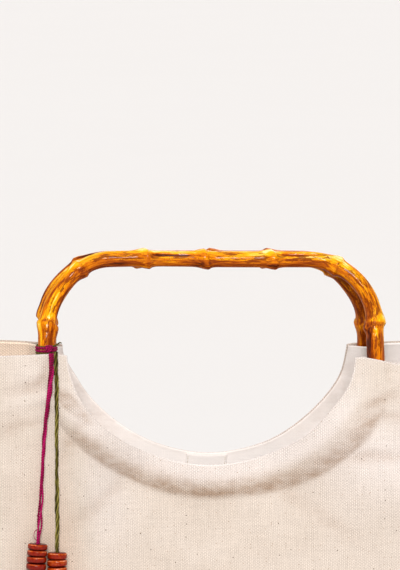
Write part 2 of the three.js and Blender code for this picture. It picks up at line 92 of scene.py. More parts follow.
# Painted light that makes parts of the front panel paler, or painted warm shade where the share is negative:
# across, drop, half width, half height and share
FRONT_PAINTED_LIGHT_AND_SHADE = [(-66, 84, 17, 40, 0.75), (-113, 14, 17, 24, 0.36), (108, 60, 46, 30, 0.95),
               (-98, 128, 22, 58, -0.85)]
# Each face of the bag: fall is for its left and right shoulders, crease_extra is how much further in the
# crease runs at the left and at the right, edge_tone is painted shade along the right part of the rim's edge,
# and edge_lift is across, half width and rise
FRONT = {"side": -1, "folds": FRONT_FOLDS + FRONT_CREASES, "fall": (-0.9, 5), "seed": 11, "sway": 0,
         "facing_start": 0, "edge_tone": 0, "edge_highlight": 1.35, "crease_extra": (-1.5, 5.5),
         "edge_lift": (-96, 17, 1.4), "pull": 3.5, "painted_patches": FRONT_PAINTED_LIGHT_AND_SHADE}
BACK = {"side": 1, "folds": BACK_FOLDS, "fall": (-1.6, -1.0), "seed": 23, "sway": 3.6,
        "facing_start": 0.5, "edge_tone": 0.36, "edge_highlight": 0, "crease_extra": (3, 3),
        "edge_lift": (96, 17, 0), "pull": 0, "painted_patches": []}
EDGE_LIFT_DROP = 30
CORNER_CUT = {"depth": 1.0, "inward": 6, "drop": 12}
SWAY = {"reach": 70, "border": 60}
# Where the tops of the shoulders don't sway, and how much of that holds at the right
STEADY = {"from": 66, "to": 90, "drop_from": 4, "drop_to": 26, "right": 0.5}
# Where the front rim is pulled to the left
PULL = {"drop": 35, "half_height": 13, "from": 40, "to": 64, "reach": 26}
# Height of the slow swells, the small ripples and the puckers of the cloth
SLACK = {"slow": 0.26, "small": 0.07, "pucker": 0.20, "pucker_reach": 9}
# Counts of columns in the four stretches of half the outline, and of rows
PANEL_GRID = ((60, 46, 20, 36), 100)
FACING_GRID = ((64, 30, 10, 24), 26)
GUSSET_GRID = ((60, 70, 24, 60), 40)
# Shifts of the weave, so that panels, facings, gusset and tab show different parts of it
WEAVE_SHIFT = {"facing": 400, "gusset": 800, "tab": 1200}

# Nodes of the cane: place along it from the middle of the bar, how far it swells and how far it slants
CANE_NODES = [(-129.0, 1.5, 1.9), (-82, 1.4, -1.4), (-38.6, 1.5, -1.3), (-2.6, 1.5, -1.3), (40.4, 1.4, -1.3),
              (81, 1.45, -0.6), (127.5, 1.7, -1.8)]
NODE_PLACES = [node[0] for node in CANE_NODES]
NODE_RISE = 5
NODE_DROP = 3
CANE_RINGS = 520
CANE_SIDES = 44
GRAIN_STRETCH = 0.085
# Bud scar at the start of a groove: how far past the node, half length, half width in radians and rise
BUD = {"past": 5.0, "long": 1.7, "wide": 0.26, "rise": 0.55}
# How far a cane may leave its smooth line at a node
KINK = 0.45
# How much painted shade darkens the back cane's outer side and painted light brightens its inner side
INNER_GLOW = 0.28

# Groove of each length of cane between nodes: its turn in degrees, half width in radians, depth, share of the
# length that it runs, and the tones of that length and of the groove in it
GROOVES = [
    (-90, 0.50, 0.9, 0.98, -0.08, -0.24), (100, 0.56, 1.2, 0.85, 0.0, 0.62),
    (-95, 0.50, 1.0, 0.98, 0.09, -0.24), (80, 0.20, 1.2, 1.0, 0.0, -0.92),
    (-85, 0.50, 1.0, 0.98, 0.04, -0.24), (66, 0.26, 1.2, 0.98, 0.0, -0.72),
    (-90, 0.50, 1.0, 0.98, 0.02, -0.24), (92, 0.34, 0.8, 0.17, -0.22, 0.55),
]

# Routes of the two cords: across, half depth, height
CORD_ROUTES = {
    "magenta": [
        (-100.5, 40.4, 291.8), (-100.1, 41.5, 288.0), (-100.2, 44.1, 282.0), (-100.8, 47.4, 274.0),
        (-101.6, 50.3, 266.0), (-102.4, 52.2, 258.0), (-103.2, 53.7, 250.0), (-103.9, 54.9, 242.0),
        (-104.6, 55.9, 234.0), (-105.3, 56.8, 226.0), (-106.1, 57.8, 217.0), (-106.9, 58.8, 207.0),
        (-107.8, 59.7, 197.0), (-108.7, 60.6, 187.0), (-109.6, 61.4, 177.0), (-110.4, 61.9, 168.0),
        (-111.0, 62.2, 158.0), (-111.6, 62.4, 147.5),
    ],
    "olive": [
        (-96.8, 40.0, 292.5), (-96.6, 41.3, 288.0), (-96.4, 43.8, 282.0), (-96.3, 47.0, 274.0),
        (-96.3, 49.9, 266.0), (-96.3, 52.4, 258.0), (-96.4, 53.5, 250.0), (-96.4, 54.4, 242.0),
        (-96.4, 55.2, 234.0), (-96.4, 55.9, 226.0), (-96.5, 56.7, 217.0), (-96.5, 57.5, 207.0),
        (-96.5, 58.3, 197.0), (-96.5, 59.1, 187.0), (-96.6, 59.8, 177.0), (-96.6, 60.3, 167.0),
        (-96.6, 60.8, 156.0), (-96.6, 61.2, 142.0),
    ],
}
# How far the lower part of each cord hangs to the right of its route
LOWER_SHIFT = {"magenta": 1.75, "olive": 0.55}
# How thick the cords look, as pairs of a height and a radius or an offset of the strands
OLIVE_WIDTHS = [(292, 1.50), (262, 1.42), (236, 1.20), (222, 1.10), (206, 1.52), (190, 1.46), (176, 1.36),
                (142, 1.1)]
MAGENTA_SIZES = [(292, 1.16), (270, 1.10), (246, 0.88), (218, 0.76), (206, 0.70), (147, 0.62)]
MAGENTA_SPREADS = [(292, 0.80), (270, 0.76), (246, 0.52), (241, 0.72), (234, 0.50), (218, 0.48), (206, 0.90),
                   (186, 1.30), (179, 0.70), (147, 0.50)]
STRAND_SHADES = (-0.20, 0.0, 0.20)
MAGENTA_SHARES = (1.06, 1.0, 0.94)
# Length of one turn of the strands round each other, and of the plies in a strand
MAGENTA_TWIST, MAGENTA_PITCH = 36.0, 3.2
OLIVE_TWIST, OLIVE_PITCH = 64.0, 14.0
CORD_STEP = 0.45
HAIR_RADIUS = 0.045
# Seed and count of the loose fibres of each cord
FUZZ = {"olive": (51, 150), "magenta": (52, 90)}
# Scale of the fibres round a yarn and along it, and the tones from the joints of its plies to their tops,
# which paint shade in the joints and light on the tops
FIBRE = {"around": 3.2, "along": 0.35}
CROWN = {"tone": 0.56, "contrast": 0.75, "middle": 0.64}
STACK_TOP = {"magenta": 176.2, "olive": 170.6}
DISC = {"radius": 6.2, "round": 1.35}
BALL_RADIUS = 5.4
# Height of each bead of a string, from the top disc down to the round bead
BEAD_HEIGHTS = {"magenta": (3.6, 3.65, 3.85, 4.1, 10.6), "olive": (4.15, 4.15, 4.15, 4.15, 9.2)}
BEAD_BORE = 1.65
BEAD_SEGMENTS = 48
BEAD_SEEDS = {"magenta": 7, "olive": 8}
BEAD_WARMTH = {"magenta": 0.12, "olive": 0.34}
END_KNOT = {"radius": 2.4, "squash": 0.85, "yarn": 0.85, "tail": 6.0}
TIE_KNOT = {"across": -100.8, "half_depth": 38.8, "lift": 4.8, "radius": 2.4}


# Camera

def add_camera():
    """The camera at the photo's viewing angle, a little above the rim and to the left."""
    yaw, elevation, roll = (math.radians(a) for a in (3.8, 5.6, 0.38))
    distance, frame_height, sensor = 3.2, 0.353, 36.0
    target = Vector((-0.0073, -0.037, 0.334))
    level = math.cos(elevation)
    ahead = Vector((math.sin(yaw) * level, math.cos(yaw) * level, -math.sin(elevation)))
    data = bpy.data.cameras.new("photo_camera")
    data.sensor_width = sensor
    data.lens = sensor * distance / frame_height
    camera = bpy.data.objects.new("photo_camera", data)
    turn = ahead.to_track_quat("-Z", "Y").to_matrix() @ Matrix.Rotation(roll, 3, "Z")
    camera.matrix_world = Matrix.Translation(target - ahead * distance) @ turn.to_4x4()
    bpy.context.scene.collection.objects.link(camera)
    bpy.context.scene.camera = camera


# Number helpers

def smoothstep(value, low, high):
    share = np.clip((np.asarray(value, float) - low) / (high - low), 0.0, 1.0)
    return share * share * (3.0 - 2.0 * share)


def lerp(a, b, share):
    return a + (b - a) * share


def unit(vectors):
    return vectors / np.linalg.norm(vectors, axis=-1, keepdims=True)


def bell(value, width):
    return np.exp(-(value / width) ** 2)


def full_turn(count):
    return np.linspace(0, 2 * math.pi, count, endpoint=False)


def ripple(seed, across, along, lengths, count=14):
    """A smooth random field of unit spread, made of waves with lengths between two limits."""
    rng = np.random.default_rng(seed)
    total = np.zeros_like(across)
    for _ in range(count):
        turn, phase = rng.uniform(0, math.pi), rng.uniform(0, 2 * math.pi)
        wave = rng.uniform(*lengths)
        total += np.sin((across * math.cos(turn) + along * math.sin(turn)) * 2 * math.pi / wave + phase)
    return total / math.sqrt(count / 2)


def smooth_route(points, per_span=12):
    """A smooth curve through the points."""
    points = np.array(points, float)
    padded = np.vstack([2 * points[0] - points[1], points, 2 * points[-1] - points[-2]])
    t = np.arange(per_span)[:, None] / per_span
    spans = []
    for a, b, c, d in zip(padded, padded[1:], padded[2:], padded[3:]):
        spans.append(b + 0.5 * t * (c - a + t * (2 * a - 5 * b + 4 * c - d + t * (3 * (b - c) + d - a))))
    return np.vstack([*spans, points[-1:]])


def run_length(points):
    """Distance along a line of points, from its first point."""
    steps = np.linalg.norm(np.diff(points, axis=0), axis=1)
    return np.concatenate([[0.0], np.cumsum(steps)])


def spread_evenly(points, spacing):
    """The same line with its points at even distances."""
    run = run_length(points)
    places = np.linspace(0, run[-1], max(2, int(round(run[-1] / spacing)) + 1))
    return np.stack([np.interp(places, run, points[:, k]) for k in range(3)], 1)


def line_frames(points, closed=False):
    """Two directions square to a line at each of its points, carried along with the least turning."""
    ahead = np.roll(points, -1, 0) - np.roll(points, 1, 0)
    if not closed:
        ahead[0], ahead[-1] = points[1] - points[0], points[-1] - points[-2]
    along = unit(ahead)
    side = np.zeros_like(along)
    carried = np.array([1.0, 0, 0]) if abs(along[0][0]) < 0.8 else np.array([0, 0, 1.0])
    for k, direction in enumerate(along):
        carried = unit(carried - direction * carried.dot(direction))
        side[k] = carried
    up = np.cross(along, side)
    if closed:
        last = unit(side[-1] - along[0] * side[-1].dot(along[0]))
        slip = math.atan2(last.dot(up[0]), last.dot(side[0]))
        turn = -slip * np.linspace(0, 1, len(points), endpoint=False)[:, None]
        side, up = side * np.cos(turn) + up * np.sin(turn), up * np.cos(turn) - side * np.sin(turn)
    return side, up


# Mesh helpers

def grid_quads(at, wrap_rows=False, wrap_columns=False):
    """Quads between neighbouring entries of a table of point numbers."""
    if wrap_rows:
        at = np.vstack([at, at[:1]])
    if wrap_columns:
        at = np.hstack([at, at[:, :1]])
    return np.stack([at[:-1, :-1], at[:-1, 1:], at[1:, 1:], at[1:, :-1]], -1).reshape(-1, 4)


def add_piece(name, points, quads, material, uv=None, fans=(), **values):
    """A closed smooth mesh on the CAD's root body, with its faces turned outwards.

    points are in millimetres, uv in metres, fans are lists of triangles, and values are numbers or vectors by
    point."""
    corners = points[quads]
    volume = np.einsum("ij,ij->i", corners[:, 0], np.cross(corners[:, 1], corners[:, 2]))
    volume += np.einsum("ij,ij->i", corners[:, 0], np.cross(corners[:, 2], corners[:, 3]))
    faces = [face.tolist() for face in quads] + [list(face) for fan in fans for face in fan]
    if volume.sum() < 0:
        faces = [face[::-1] for face in faces]
    mesh = bpy.data.meshes.new(name)
    mesh.from_pydata((points * MM).tolist(), [], faces)
    mesh.polygons.foreach_set("use_smooth", np.ones(len(mesh.polygons), bool))
    if uv is not None:
        corner_points = np.zeros(len(mesh.loops), np.int32)
        mesh.loops.foreach_get("vertex_index", corner_points)
        layer = mesh.uv_layers.new(name="weave")
        layer.data.foreach_set("uv", uv[corner_points].astype(np.float32).ravel())
    for key, value in values.items():
        value = np.asarray(value, np.float32)
        if value.ndim == 2:
            mesh.attributes.new(key, "FLOAT_VECTOR", "POINT").data.foreach_set("vector", value.ravel())
        else:
            mesh.attributes.new(key, "FLOAT", "POINT").data.foreach_set("value", value)
    mesh.materials.append(material)
    piece = bpy.data.objects.new(name, mesh)
    bpy.context.scene.collection.objects.link(piece)
    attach(piece, "root")
    return piece


def stand_in(piece, node):
    """Lets a piece stand for a node of the solids, by hiding that node's part."""
    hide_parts(node)
    return piece


def tube_faces(rings, sides, first=0):
    """Quads of a tube of rings, and a fan over each end."""
    at = first + np.arange(rings * sides).reshape(rings, sides)
    start, end = at[0].tolist(), at[-1].tolist()
    fans = [[(start[0], start[k + 1], start[k]) for k in range(1, sides - 1)],
            [(end[0], end[k], end[k + 1]) for k in range(1, sides - 1)]]
    return grid_quads(at, wrap_columns=True), fans


# Materials

class Shader:
    """A procedural material, with short ways to add nodes to it."""

    def __init__(self, name):
        self.material = bpy.data.materials.new(name)
        self.material.use_nodes = True
        self.tree = self.material.node_tree
        self.surface = self.tree.nodes["Principled BSDF"]

    def put(self, socket, value):
        if isinstance(value, bpy.types.NodeSocket):
            self.tree.links.new(value, socket)
        else:
            socket.default_value = value

    def add(self, kind, inputs, **settings):
        node = self.tree.nodes.new("ShaderNode" + kind)
        for key, value in settings.items():
            setattr(node, key, value)
        for key, value in inputs.items():
            self.put(node.inputs[key], value)
        return node

    def math(self, operation, a, b=0.0):
        return self.add("Math", {0: a, 1: b}, operation=operation).outputs[0]

    def range(self, value, low, high, to_low=0.0, to_high=1.0, smooth=True):
        kind = "SMOOTHSTEP" if smooth else "LINEAR"
        inputs = {"Value": value, "From Min": low, "From Max": high, "To Min": to_low, "To Max": to_high}
        return self.add("MapRange", inputs, interpolation_type=kind).outputs[0]

    def noise(self, vector, scale, detail=3.0, roughness=0.55):
        inputs = {"Vector": vector, "Scale": scale, "Detail": detail, "Roughness": roughness}
        return self.add("TexNoise", inputs).outputs["Fac"]

    def stretched(self, vector, scales):
        return self.add("VectorMath", {0: vector, 1: scales}, operation="MULTIPLY").outputs[0]

    def mix(self, share, a, b, blend="MIX"):
        node = self.add("Mix", {0: share, 6: a, 7: b}, data_type="RGBA", blend_type=blend)
        return node.outputs[2]

    def ramp(self, value, stops):
        node = self.add("ValToRGB", {0: value})
        colours = node.color_ramp.elements
        while len(colours) < len(stops):
            colours.new(0.5)
        for stop, (place, colour) in zip(colours, stops):
            stop.position = place
            stop.color = (*colour, 1)
        return node.outputs[0]

    def number(self, name):
        return self.add("Attribute", {}, attribute_name=name).outputs["Fac"]

    def vector(self, name):
        return self.add("Attribute", {}, attribute_name=name).outputs["Vector"]

    def finish(self, colour, height, bump, constants):
        self.put(self.surface.inputs["Base Color"], colour)
        inputs = {"Strength": bump[0], "Distance": bump[1], "Height": height}
        self.put(self.surface.inputs["Normal"], self.add("Bump", inputs).outputs[0])
        for key, value in constants.items():
            self.surface.inputs[key].default_value = value
        return self.material


def canvas_material():
    """Unbleached plain-weave cotton, with uneven yarns and seed specks; painted light makes the rim, the
    facings and some patches paler, and painted shade darkens the valley under the roll.
    """
    s = Shader("canvas")
    band = s.number("band")
    uv = s.add("UVMap", {}, uv_map="weave").outputs[0]
    wander = s.add("TexNoise", {"Vector": uv, "Scale": 45.0, "Detail": 2.0}).outputs["Color"]
    wander = s.add("VectorMath", {0: wander, 1: (0.5, 0.5, 0.5)}, operation="SUBTRACT").outputs[0]
    wander = s.add("VectorMath", {0: wander, "Scale": 0.0016}, operation="SCALE").outputs[0]
    cloth = s.add("VectorMath", {0: uv, 1: wander}, operation="ADD").outputs[0]
    parts = s.add("SeparateXYZ", {0: cloth})
    warp_pitch, weft_pitch = 0.00116, 0.00086
    across = s.math("DIVIDE", parts.outputs[0], warp_pitch)
    along = s.math("DIVIDE", parts.outputs[1], weft_pitch)
    rib = s.math("ABSOLUTE", s.math("SINE", s.math("MULTIPLY", across, math.pi)))
    lift = s.math("ADD", along, s.math("FLOOR", across))
    lift = s.math("SINE", s.math("MULTIPLY", lift, math.pi))
    lift = s.math("MULTIPLY_ADD", lift, 0.40)
    lift.node.inputs[2].default_value = 0.60
    weave = s.math("MULTIPLY", rib, lift)
    warp_slub = s.noise(s.stretched(uv, (820, 60, 1)), 1.0, 2.0)
    weft_slub = s.noise(s.stretched(uv, (50, 980, 1)), 1.0, 2.0)
    slub = s.math("ADD", warp_slub, weft_slub)
    cloud = s.noise(uv, 28.0, 3.0)
    outside = s.range(band, 1.0, 1.5, 1.0, 0.08)
    outside = s.math("ADD", outside, s.range(band, 1.6, 2.0, 0.0, 0.8))
    mottle = s.range(s.noise(s.stretched(uv, (90, 170, 1)), 1.0, 4.0, 0.6), 0.3, 0.7, 0.55, 1.35)
    # Painted shade from the crease values: a darker, browner tone in the valley under the rolled rim, in fold
    # hollows, along rim edges and on the facings' side strips, with a deeper weave there
    painted_shade = s.math("MULTIPLY", s.number("crease"), mottle)
    depth = s.math("MULTIPLY", s.range(painted_shade, 0.0, 0.5, 0.30, 0.52, smooth=False), outside)
    depth = s.math("MULTIPLY", depth, s.range(s.noise(uv, 150.0, 2.0), 0.3, 0.7, 0.5, 1.5))
    tone = s.math("ADD", s.math("MULTIPLY", s.math("SUBTRACT", weave, 0.40), depth), 1.045)
    uneven = s.range(slub, 0.6, 1.4, -0.085, 0.085, smooth=False)
    tone = s.math("ADD", tone, s.math("MULTIPLY", uneven, outside))
    tone = s.math("ADD", tone, s.range(cloud, 0.3, 0.7, -0.025, 0.025))
    # Painted light: higher light values make the cloth paler and cooler on the rolled rim, the cut edge, some
    # patches and the facings, and warmer on the left shoulders of the facings; negative values paint a warm
    # shade
    warm = s.mix(s.range(cloud, 0.35, 0.65), (0.548, 0.468, 0.400, 1), (0.558, 0.482, 0.418, 1))
    warm = s.mix(s.range(band, -1.0, 0.0, 1.0, 0.0, smooth=False), warm, (0.536, 0.408, 0.319, 1))
    pale = s.mix(band, warm, (0.630, 0.562, 0.522, 1))
    pale = s.mix(s.range(band, 1.0, 1.6), pale, (0.835, 0.778, 0.745, 1))
    pale = s.mix(s.range(band, 1.6, 2.0), pale, (0.85, 0.685, 0.55, 1))
    creased = s.mix(painted_shade, pale, (0.300, 0.192, 0.124, 1))
    shade = s.add("CombineXYZ", {0: tone, 1: tone, 2: tone}).outputs[0]
    colour = s.mix(1.0, creased, shade, "MULTIPLY")
    for cell, chance, size, dark in ((0.0072, 0.86, 0.048, (0.070, 0.040, 0.025, 1)),
                                     (0.0043, 0.72, 0.062, (0.330, 0.225, 0.155, 1))):
        spots = s.add("TexVoronoi", {"Vector": cloth, "Scale": 1 / cell}, voronoi_dimensions="2D")
        odds = s.add("SeparateColor", {0: spots.outputs["Color"]}).outputs[0]
        chosen = s.math("MULTIPLY", s.math("GREATER_THAN", odds, chance), outside)
        near = s.range(spots.outputs["Distance"], size * 0.55, size * 1.25, 1.0, 0.0)
        colour = s.mix(s.math("MULTIPLY", chosen, near), colour, dark)
    height = s.math("MULTIPLY_ADD", slub, 0.6)
    s.put(height.node.inputs[2], s.math("MULTIPLY", weave, outside))
    return s.finish(colour, height, (0.55, 0.0005), {
        "Roughness": 0.9, "Specular IOR Level": 0.12, "Sheen Weight": 0.08, "Sheen Roughness": 0.5})


def bamboo_material():
    """Amber cane under glossy varnish, with long grain, dark grooves and scorched streaks, and painted
    highlights and shade in its tone.
    """
    s = Shader("bamboo")
    grain, scorch = s.vector("grain"), s.number("scorch")
    broad = s.noise(grain, 300.0, 3.0)
    fine = s.noise(grain, 1250.0, 3.0)
    slow = s.noise(grain, 75.0, 2.0)
    value = s.math("ADD", s.range(broad, 0.28, 0.72, -0.32, 0.32, smooth=False),
                   s.range(fine, 0.3, 0.7, -0.21, 0.21, smooth=False))
    value = s.math("ADD", value, s.range(slow, 0.3, 0.7, -0.10, 0.10, smooth=False))
    value = s.math("ADD", value, s.number("tone"))
    # The cream top of the ramp colours the painted highlights and the palest tongues
    amber = s.ramp(s.math("MULTIPLY", value, 0.8), [
        (0.02, (0.055, 0.008, 0.0004)), (0.17, (0.210, 0.030, 0.0004)), (0.33, (0.430, 0.088, 0.0006)),
        (0.48, (0.610, 0.165, 0.0008)), (0.64, (0.790, 0.305, 0.0015)), (0.80, (0.940, 0.480, 0.0030)),
        (1.00, (0.950, 0.740, 0.3200))])
    stain = s.noise(s.stretched(grain, (1, 1, 2.2)), 560.0, 3.0, 0.6)
    stain = s.math("ADD", stain, s.math("MULTIPLY", scorch, 0.10))
    stain = s.math("MULTIPLY", s.range(stain, 0.56, 0.65), 0.85)
    stained = s.mix(stain, amber, (0.190, 0.028, 0.0004, 1))
    dash = s.noise(s.stretched(grain, (1, 1, 5.0)), 1900.0, 2.0)
    dash = s.math("ADD", dash, s.math("MULTIPLY", scorch, 0.05))
    dash = s.math("MULTIPLY", s.range(dash, 0.60, 0.68), 0.70)
    marked = s.mix(dash, stained, (0.110, 0.014, 0.0003, 1))
    colour = s.mix(s.number("ring"), marked, (0.13, 0.028, 0.003, 1))
    height = s.math("ADD", s.math("MULTIPLY", broad, 0.6), fine)
    return s.finish(colour, height, (0.12, 0.0004), {
        "Roughness": 0.5, "Specular IOR Level": 0.03, "Coat Weight": 0.18, "Coat Roughness": 0.06})


def yarn_material(name, dark, light, pale):
    """Twisted cotton yarn: fibres along each ply, with painted shade where the plies meet and painted light
    on their tops.
    """
    s = Shader(name)
    fibre = s.vector("fibre")
    hair = s.noise(fibre, 1.0, 3.0, 0.6)
    cloud = s.noise(s.stretched(fibre, (0.05, 0.05, 0.12)), 1.0, 2.0)
    value = s.math("ADD", s.range(hair, 0.3, 0.7, -0.25, 0.25, smooth=False), s.number("crown"))
    value = s.math("ADD", value, s.range(cloud, 0.3, 0.7, -0.12, 0.12))
    colour = s.ramp(value, [(0.05, dark), (0.65, light), (1.0, pale)])
    return s.finish(colour, hair, (0.5, 0.0003), {
        "Roughness": 0.85, "Specular IOR Level": 0.12, "Sheen Weight": 0.06, "Sheen Roughness": 0.45})


def bead_material(name, dark, light, warm, pale):
    """Dyed wood under a thin gloss: grain rings and pores, with a painted highlight on the upper rims and
    painted shade low down and between the beads.
    """
    s = Shader(name)
    grain = s.vector("grain")
    rings = s.noise(s.stretched(grain, (1, 1, 0.16)), 620.0, 3.0)
    pores = s.noise(s.stretched(grain, (1, 1, 0.10)), 2300.0, 2.0)
    value = s.math("ADD", s.range(rings, 0.3, 0.7, 0.14, 0.62), s.range(pores, 0.35, 0.65, 0.04, 0.20))
    value = s.math("ADD", s.math("MULTIPLY", value, 0.6), s.number("shade"))
    colour = s.ramp(s.math("MULTIPLY", value, 0.6), [(0.0, dark), (0.33, light), (0.60, warm), (1.0, pale)])
    return s.finish(colour, pores, (0.18, 0.0002), {
        "Roughness": 0.4, "Specular IOR Level": 0.03, "Coat Weight": 0.36, "Coat Roughness": 0.05})


def floor_material():
    s = Shader("pale_floor")
    place = s.add("TexCoord", {}).outputs["Object"]
    grain = s.noise(place, 3.0, 2.0)
    colour = s.mix(grain, (0.720, 0.700, 0.690, 1), (0.728, 0.708, 0.699, 1))
    return s.finish(colour, grain, (0.02, 0.001), {"Roughness": 0.95, "Specular IOR Level": 0.0})


# Cords

def lobes(turn, plies):
    """Radius of a twisted yarn over its whole radius, and how near the top of a ply it is."""
    slice_angle = 2 * math.pi / plies
    off = (turn + slice_angle / 2) % slice_angle - slice_angle / 2
    ply = math.sin(slice_angle / 2) / (1 + math.sin(slice_angle / 2))
    middle = 1 - ply
    reach = middle * np.cos(off) + np.sqrt(np.maximum(ply ** 2 - (middle * np.sin(off)) ** 2, 0))
    return np.maximum(reach, 0.66), np.cos(off * plies / 2)


def yarn(points, radius, plies, pitch, sides, closed=False, phase=0.0, shade=0.0):
    """A twisted yarn along a line: its points, fibre coordinates, crowns, sides and whether it is closed.

    radius may change along the line."""
    side, up = line_frames(points, closed)
    run = run_length(points)
    if closed:
        whole = run[-1] + np.linalg.norm(points[0] - points[-1])
        pitch = whole / max(1, round(whole / pitch))
    turn = full_turn(sides)
    twist = 2 * math.pi * run / pitch + phase
    lag = turn[None] - twist[:, None]
    reach, crown = lobes(lag, plies)
    reach = reach * np.broadcast_to(radius, run.shape)[:, None]
    rings = points[:, None] + reach[..., None] * (
        side[:, None] * np.cos(turn)[None, :, None] + up[:, None] * np.sin(turn)[None, :, None])
    along = np.broadcast_to(run[:, None] * FIBRE["along"], lag.shape)
    fibre = np.stack([np.cos(lag) * FIBRE["around"], np.sin(lag) * FIBRE["around"], along], -1)
    # Painted shade where the plies meet and painted light on their tops
    crown = CROWN["tone"] + shade + CROWN["contrast"] * (crown.ravel() - CROWN["middle"])
    return rings.reshape(-1, 3), fibre.reshape(-1, 3), crown, sides, closed


def add_yarns(name, material, yarns):
    """One piece of several yarns."""
    quads, fans, first = [], [], 0
    for rings, _, _, sides, closed in yarns:
        count = len(rings) // sides
        if closed:
            at = first + np.arange(count * sides).reshape(count, sides)
            quads.append(grid_quads(at, wrap_rows=True, wrap_columns=True))
        else:
            around, ends = tube_faces(count, sides, first)
            quads.append(around)
            fans += ends
        first += len(rings)
    points, fibres, crowns = (np.concatenate([one[k] for one in yarns]) for k in range(3))
    return add_piece(name, points, np.vstack(quads), material, fans=fans, fibre=fibres, crown=crowns)


def route_line(colour):
    line = smooth_route([(across, -half, height) for across, half, height in CORD_ROUTES[colour]])
    line[:, 0] += LOWER_SHIFT[colour] * (1 - smoothstep(line[:, 2], 180, 245))
    return line


def at_heights(line, stops):
    """A value for each point of a line, from pairs of a height and its value."""
    heights, values = zip(*sorted(stops))
    return np.interp(line[:, 2], heights, values)


def square_to(angle, side, up):
    """Directions at angles round a line, from the two directions square to it."""
    return np.cos(angle)[:, None] * side + np.sin(angle)[:, None] * up


def fuzz(line, radius, seed, count):
    """Loose fibres that stand off a cord, as yarns."""
    rng = np.random.default_rng(seed)
    side, up = line_frames(line)
    hairs = []
    for k in rng.integers(8, len(line) - 8, count):
        turn, lean = rng.uniform(0, 2 * math.pi), rng.uniform(-1, 1)
        outward = side[k] * math.cos(turn) + up[k] * math.sin(turn)
        around = up[k] * math.cos(turn) - side[k] * math.sin(turn)
        t = np.linspace(0, rng.uniform(0.5, 1.3), 5)[:, None]
        hair = line[k] + outward * (radius[k] * 0.85 + 0.75 * t - 0.22 * t ** 2) + around * lean * t
        hair = hair + np.array([0, 0, 1.0]) * rng.uniform(-0.8, 0.5) * t
        hairs.append(yarn(hair, HAIR_RADIUS, 2, 3.0, sides=4))
    return hairs


def olive_strands(line):
    """Three strands in a slow twist, fuller at their top and just above the beads."""
    side, up = line_frames(line)
    width = at_heights(line, OLIVE_WIDTHS)
    strands = []
    for k, shade in enumerate(STRAND_SHADES):
        angle = 2 * math.pi * (run_length(line) / OLIVE_TWIST + k / 3)
        centre = line + 0.5 * width[:, None] * square_to(angle, side, up)
        strands.append(yarn(centre, 0.52 * width, 2, OLIVE_PITCH, sides=12, phase=k, shade=shade))
    return [*strands, *fuzz(line, width, *FUZZ["olive"])]


def magenta_strands(line):
    """Three strands that lie close at first and loosen lower down, with one thin yarn looping out."""
    run = run_length(line)
    side, up = line_frames(line)
    size, spread = at_heights(line, MAGENTA_SIZES), at_heights(line, MAGENTA_SPREADS)
    line = line + np.array([0.9, -0.3, 0]) * smoothstep(line[:, 2:], 245, 285)
    turn = 2 * math.pi * (run / MAGENTA_TWIST - 0.4 * smoothstep(run, 60, 125))
    strands = []
    for k, share in enumerate(MAGENTA_SHARES):
        angle = turn + 2 * math.pi * k / 3 + 0.3 * np.sin(run / 6.0 + 2 * k)
        centre = line + spread[:, None] * square_to(angle, side, up)
        radius, shade = size * share, STRAND_SHADES[k]
        strands.append(yarn(centre, radius, 2, MAGENTA_PITCH, sides=12, phase=k, shade=shade))
    start, bow = np.searchsorted(-line[:, 2], -182), np.linspace(0, math.pi, 40)
    base = line[start] + np.array([-0.8, -0.6, 0])
    loop = base + np.stack([-2.3 * np.sin(bow), -0.5 * np.sin(bow), 3.4 * np.cos(bow)], 1)
    strands.append(yarn(loop, 0.24, 2, 1.6, sides=8))
    return [*strands, *fuzz(line, size + spread, *FUZZ["magenta"])]


# Shape of the cloth: a place on a panel is an angle below the shoulder line and a distance in from the scoop

FLARE = (BAG["base_half_width"] - BAG["top_half_width"]) / BAG["height"]
SLANT = math.hypot(1, FLARE)
CORNER_DROP = BAG["height"] - BAG["corner_radius"]
CORNER_ACROSS = BAG["top_half_width"] + FLARE * CORNER_DROP - BAG["corner_radius"] * SLANT
CORNER_SIDE_DROP = CORNER_DROP - FLARE * BAG["corner_radius"] / SLANT
CORNER_FROM = math.atan2(CORNER_SIDE_DROP, BAG["top_half_width"] + FLARE * CORNER_SIDE_DROP)
CORNER_TO = math.atan2(BAG["height"], CORNER_ACROSS)


def scoop_radius(angle):
    across = np.abs(np.cos(angle) / SCOOP["half_width"]) ** SCOOP["power"]
    down = np.abs(np.sin(angle) / SCOOP["depth"]) ** SCOOP["power"]
    return (across + down) ** (-1 / SCOOP["power"])


def outline_radius(angle):
    folded = np.minimum(angle, math.pi - angle)
    across, down = np.cos(folded), np.sin(folded)
    along = across * CORNER_ACROSS + down * CORNER_DROP
    square = along ** 2 - CORNER_ACROSS ** 2 - CORNER_DROP ** 2 + BAG["corner_radius"] ** 2
    bend = along + np.sqrt(np.maximum(square, 0))
    bottom = BAG["height"] / np.maximum(down, 1e-6)
    upright = BAG["top_half_width"] / np.maximum(across - FLARE * down, 1e-6)
    return np.where(folded <= CORNER_FROM, upright, np.where(folded >= CORNER_TO, bottom, bend))


def rim_half_depth(angle):
    edge = scoop_radius(angle)
    across = edge * np.abs(np.cos(angle))
    spread = (RIM["corner"] - RIM["centre"]) * (across / SCOOP["half_width"]) ** 2
    leaning = RIM["lean"] * edge * np.sin(angle) * smoothstep(across, RIM["lean_from"], RIM["lean_to"])
    return RIM["centre"] + spread + leaning


def shoulder_fall(falls, across, drop):
    most = np.where(across > 0, falls[1], falls[0])
    outwards = smoothstep(np.abs(across), SHOULDER["from"], SHOULDER["to"])
    return most * outwards * (1 - smoothstep(drop, 0, SHOULDER["reach"]))


def seam_half_depth(drop):
    return lerp(SEAM["top_half_depth"], SEAM["base_half_depth"], drop / BAG["height"])


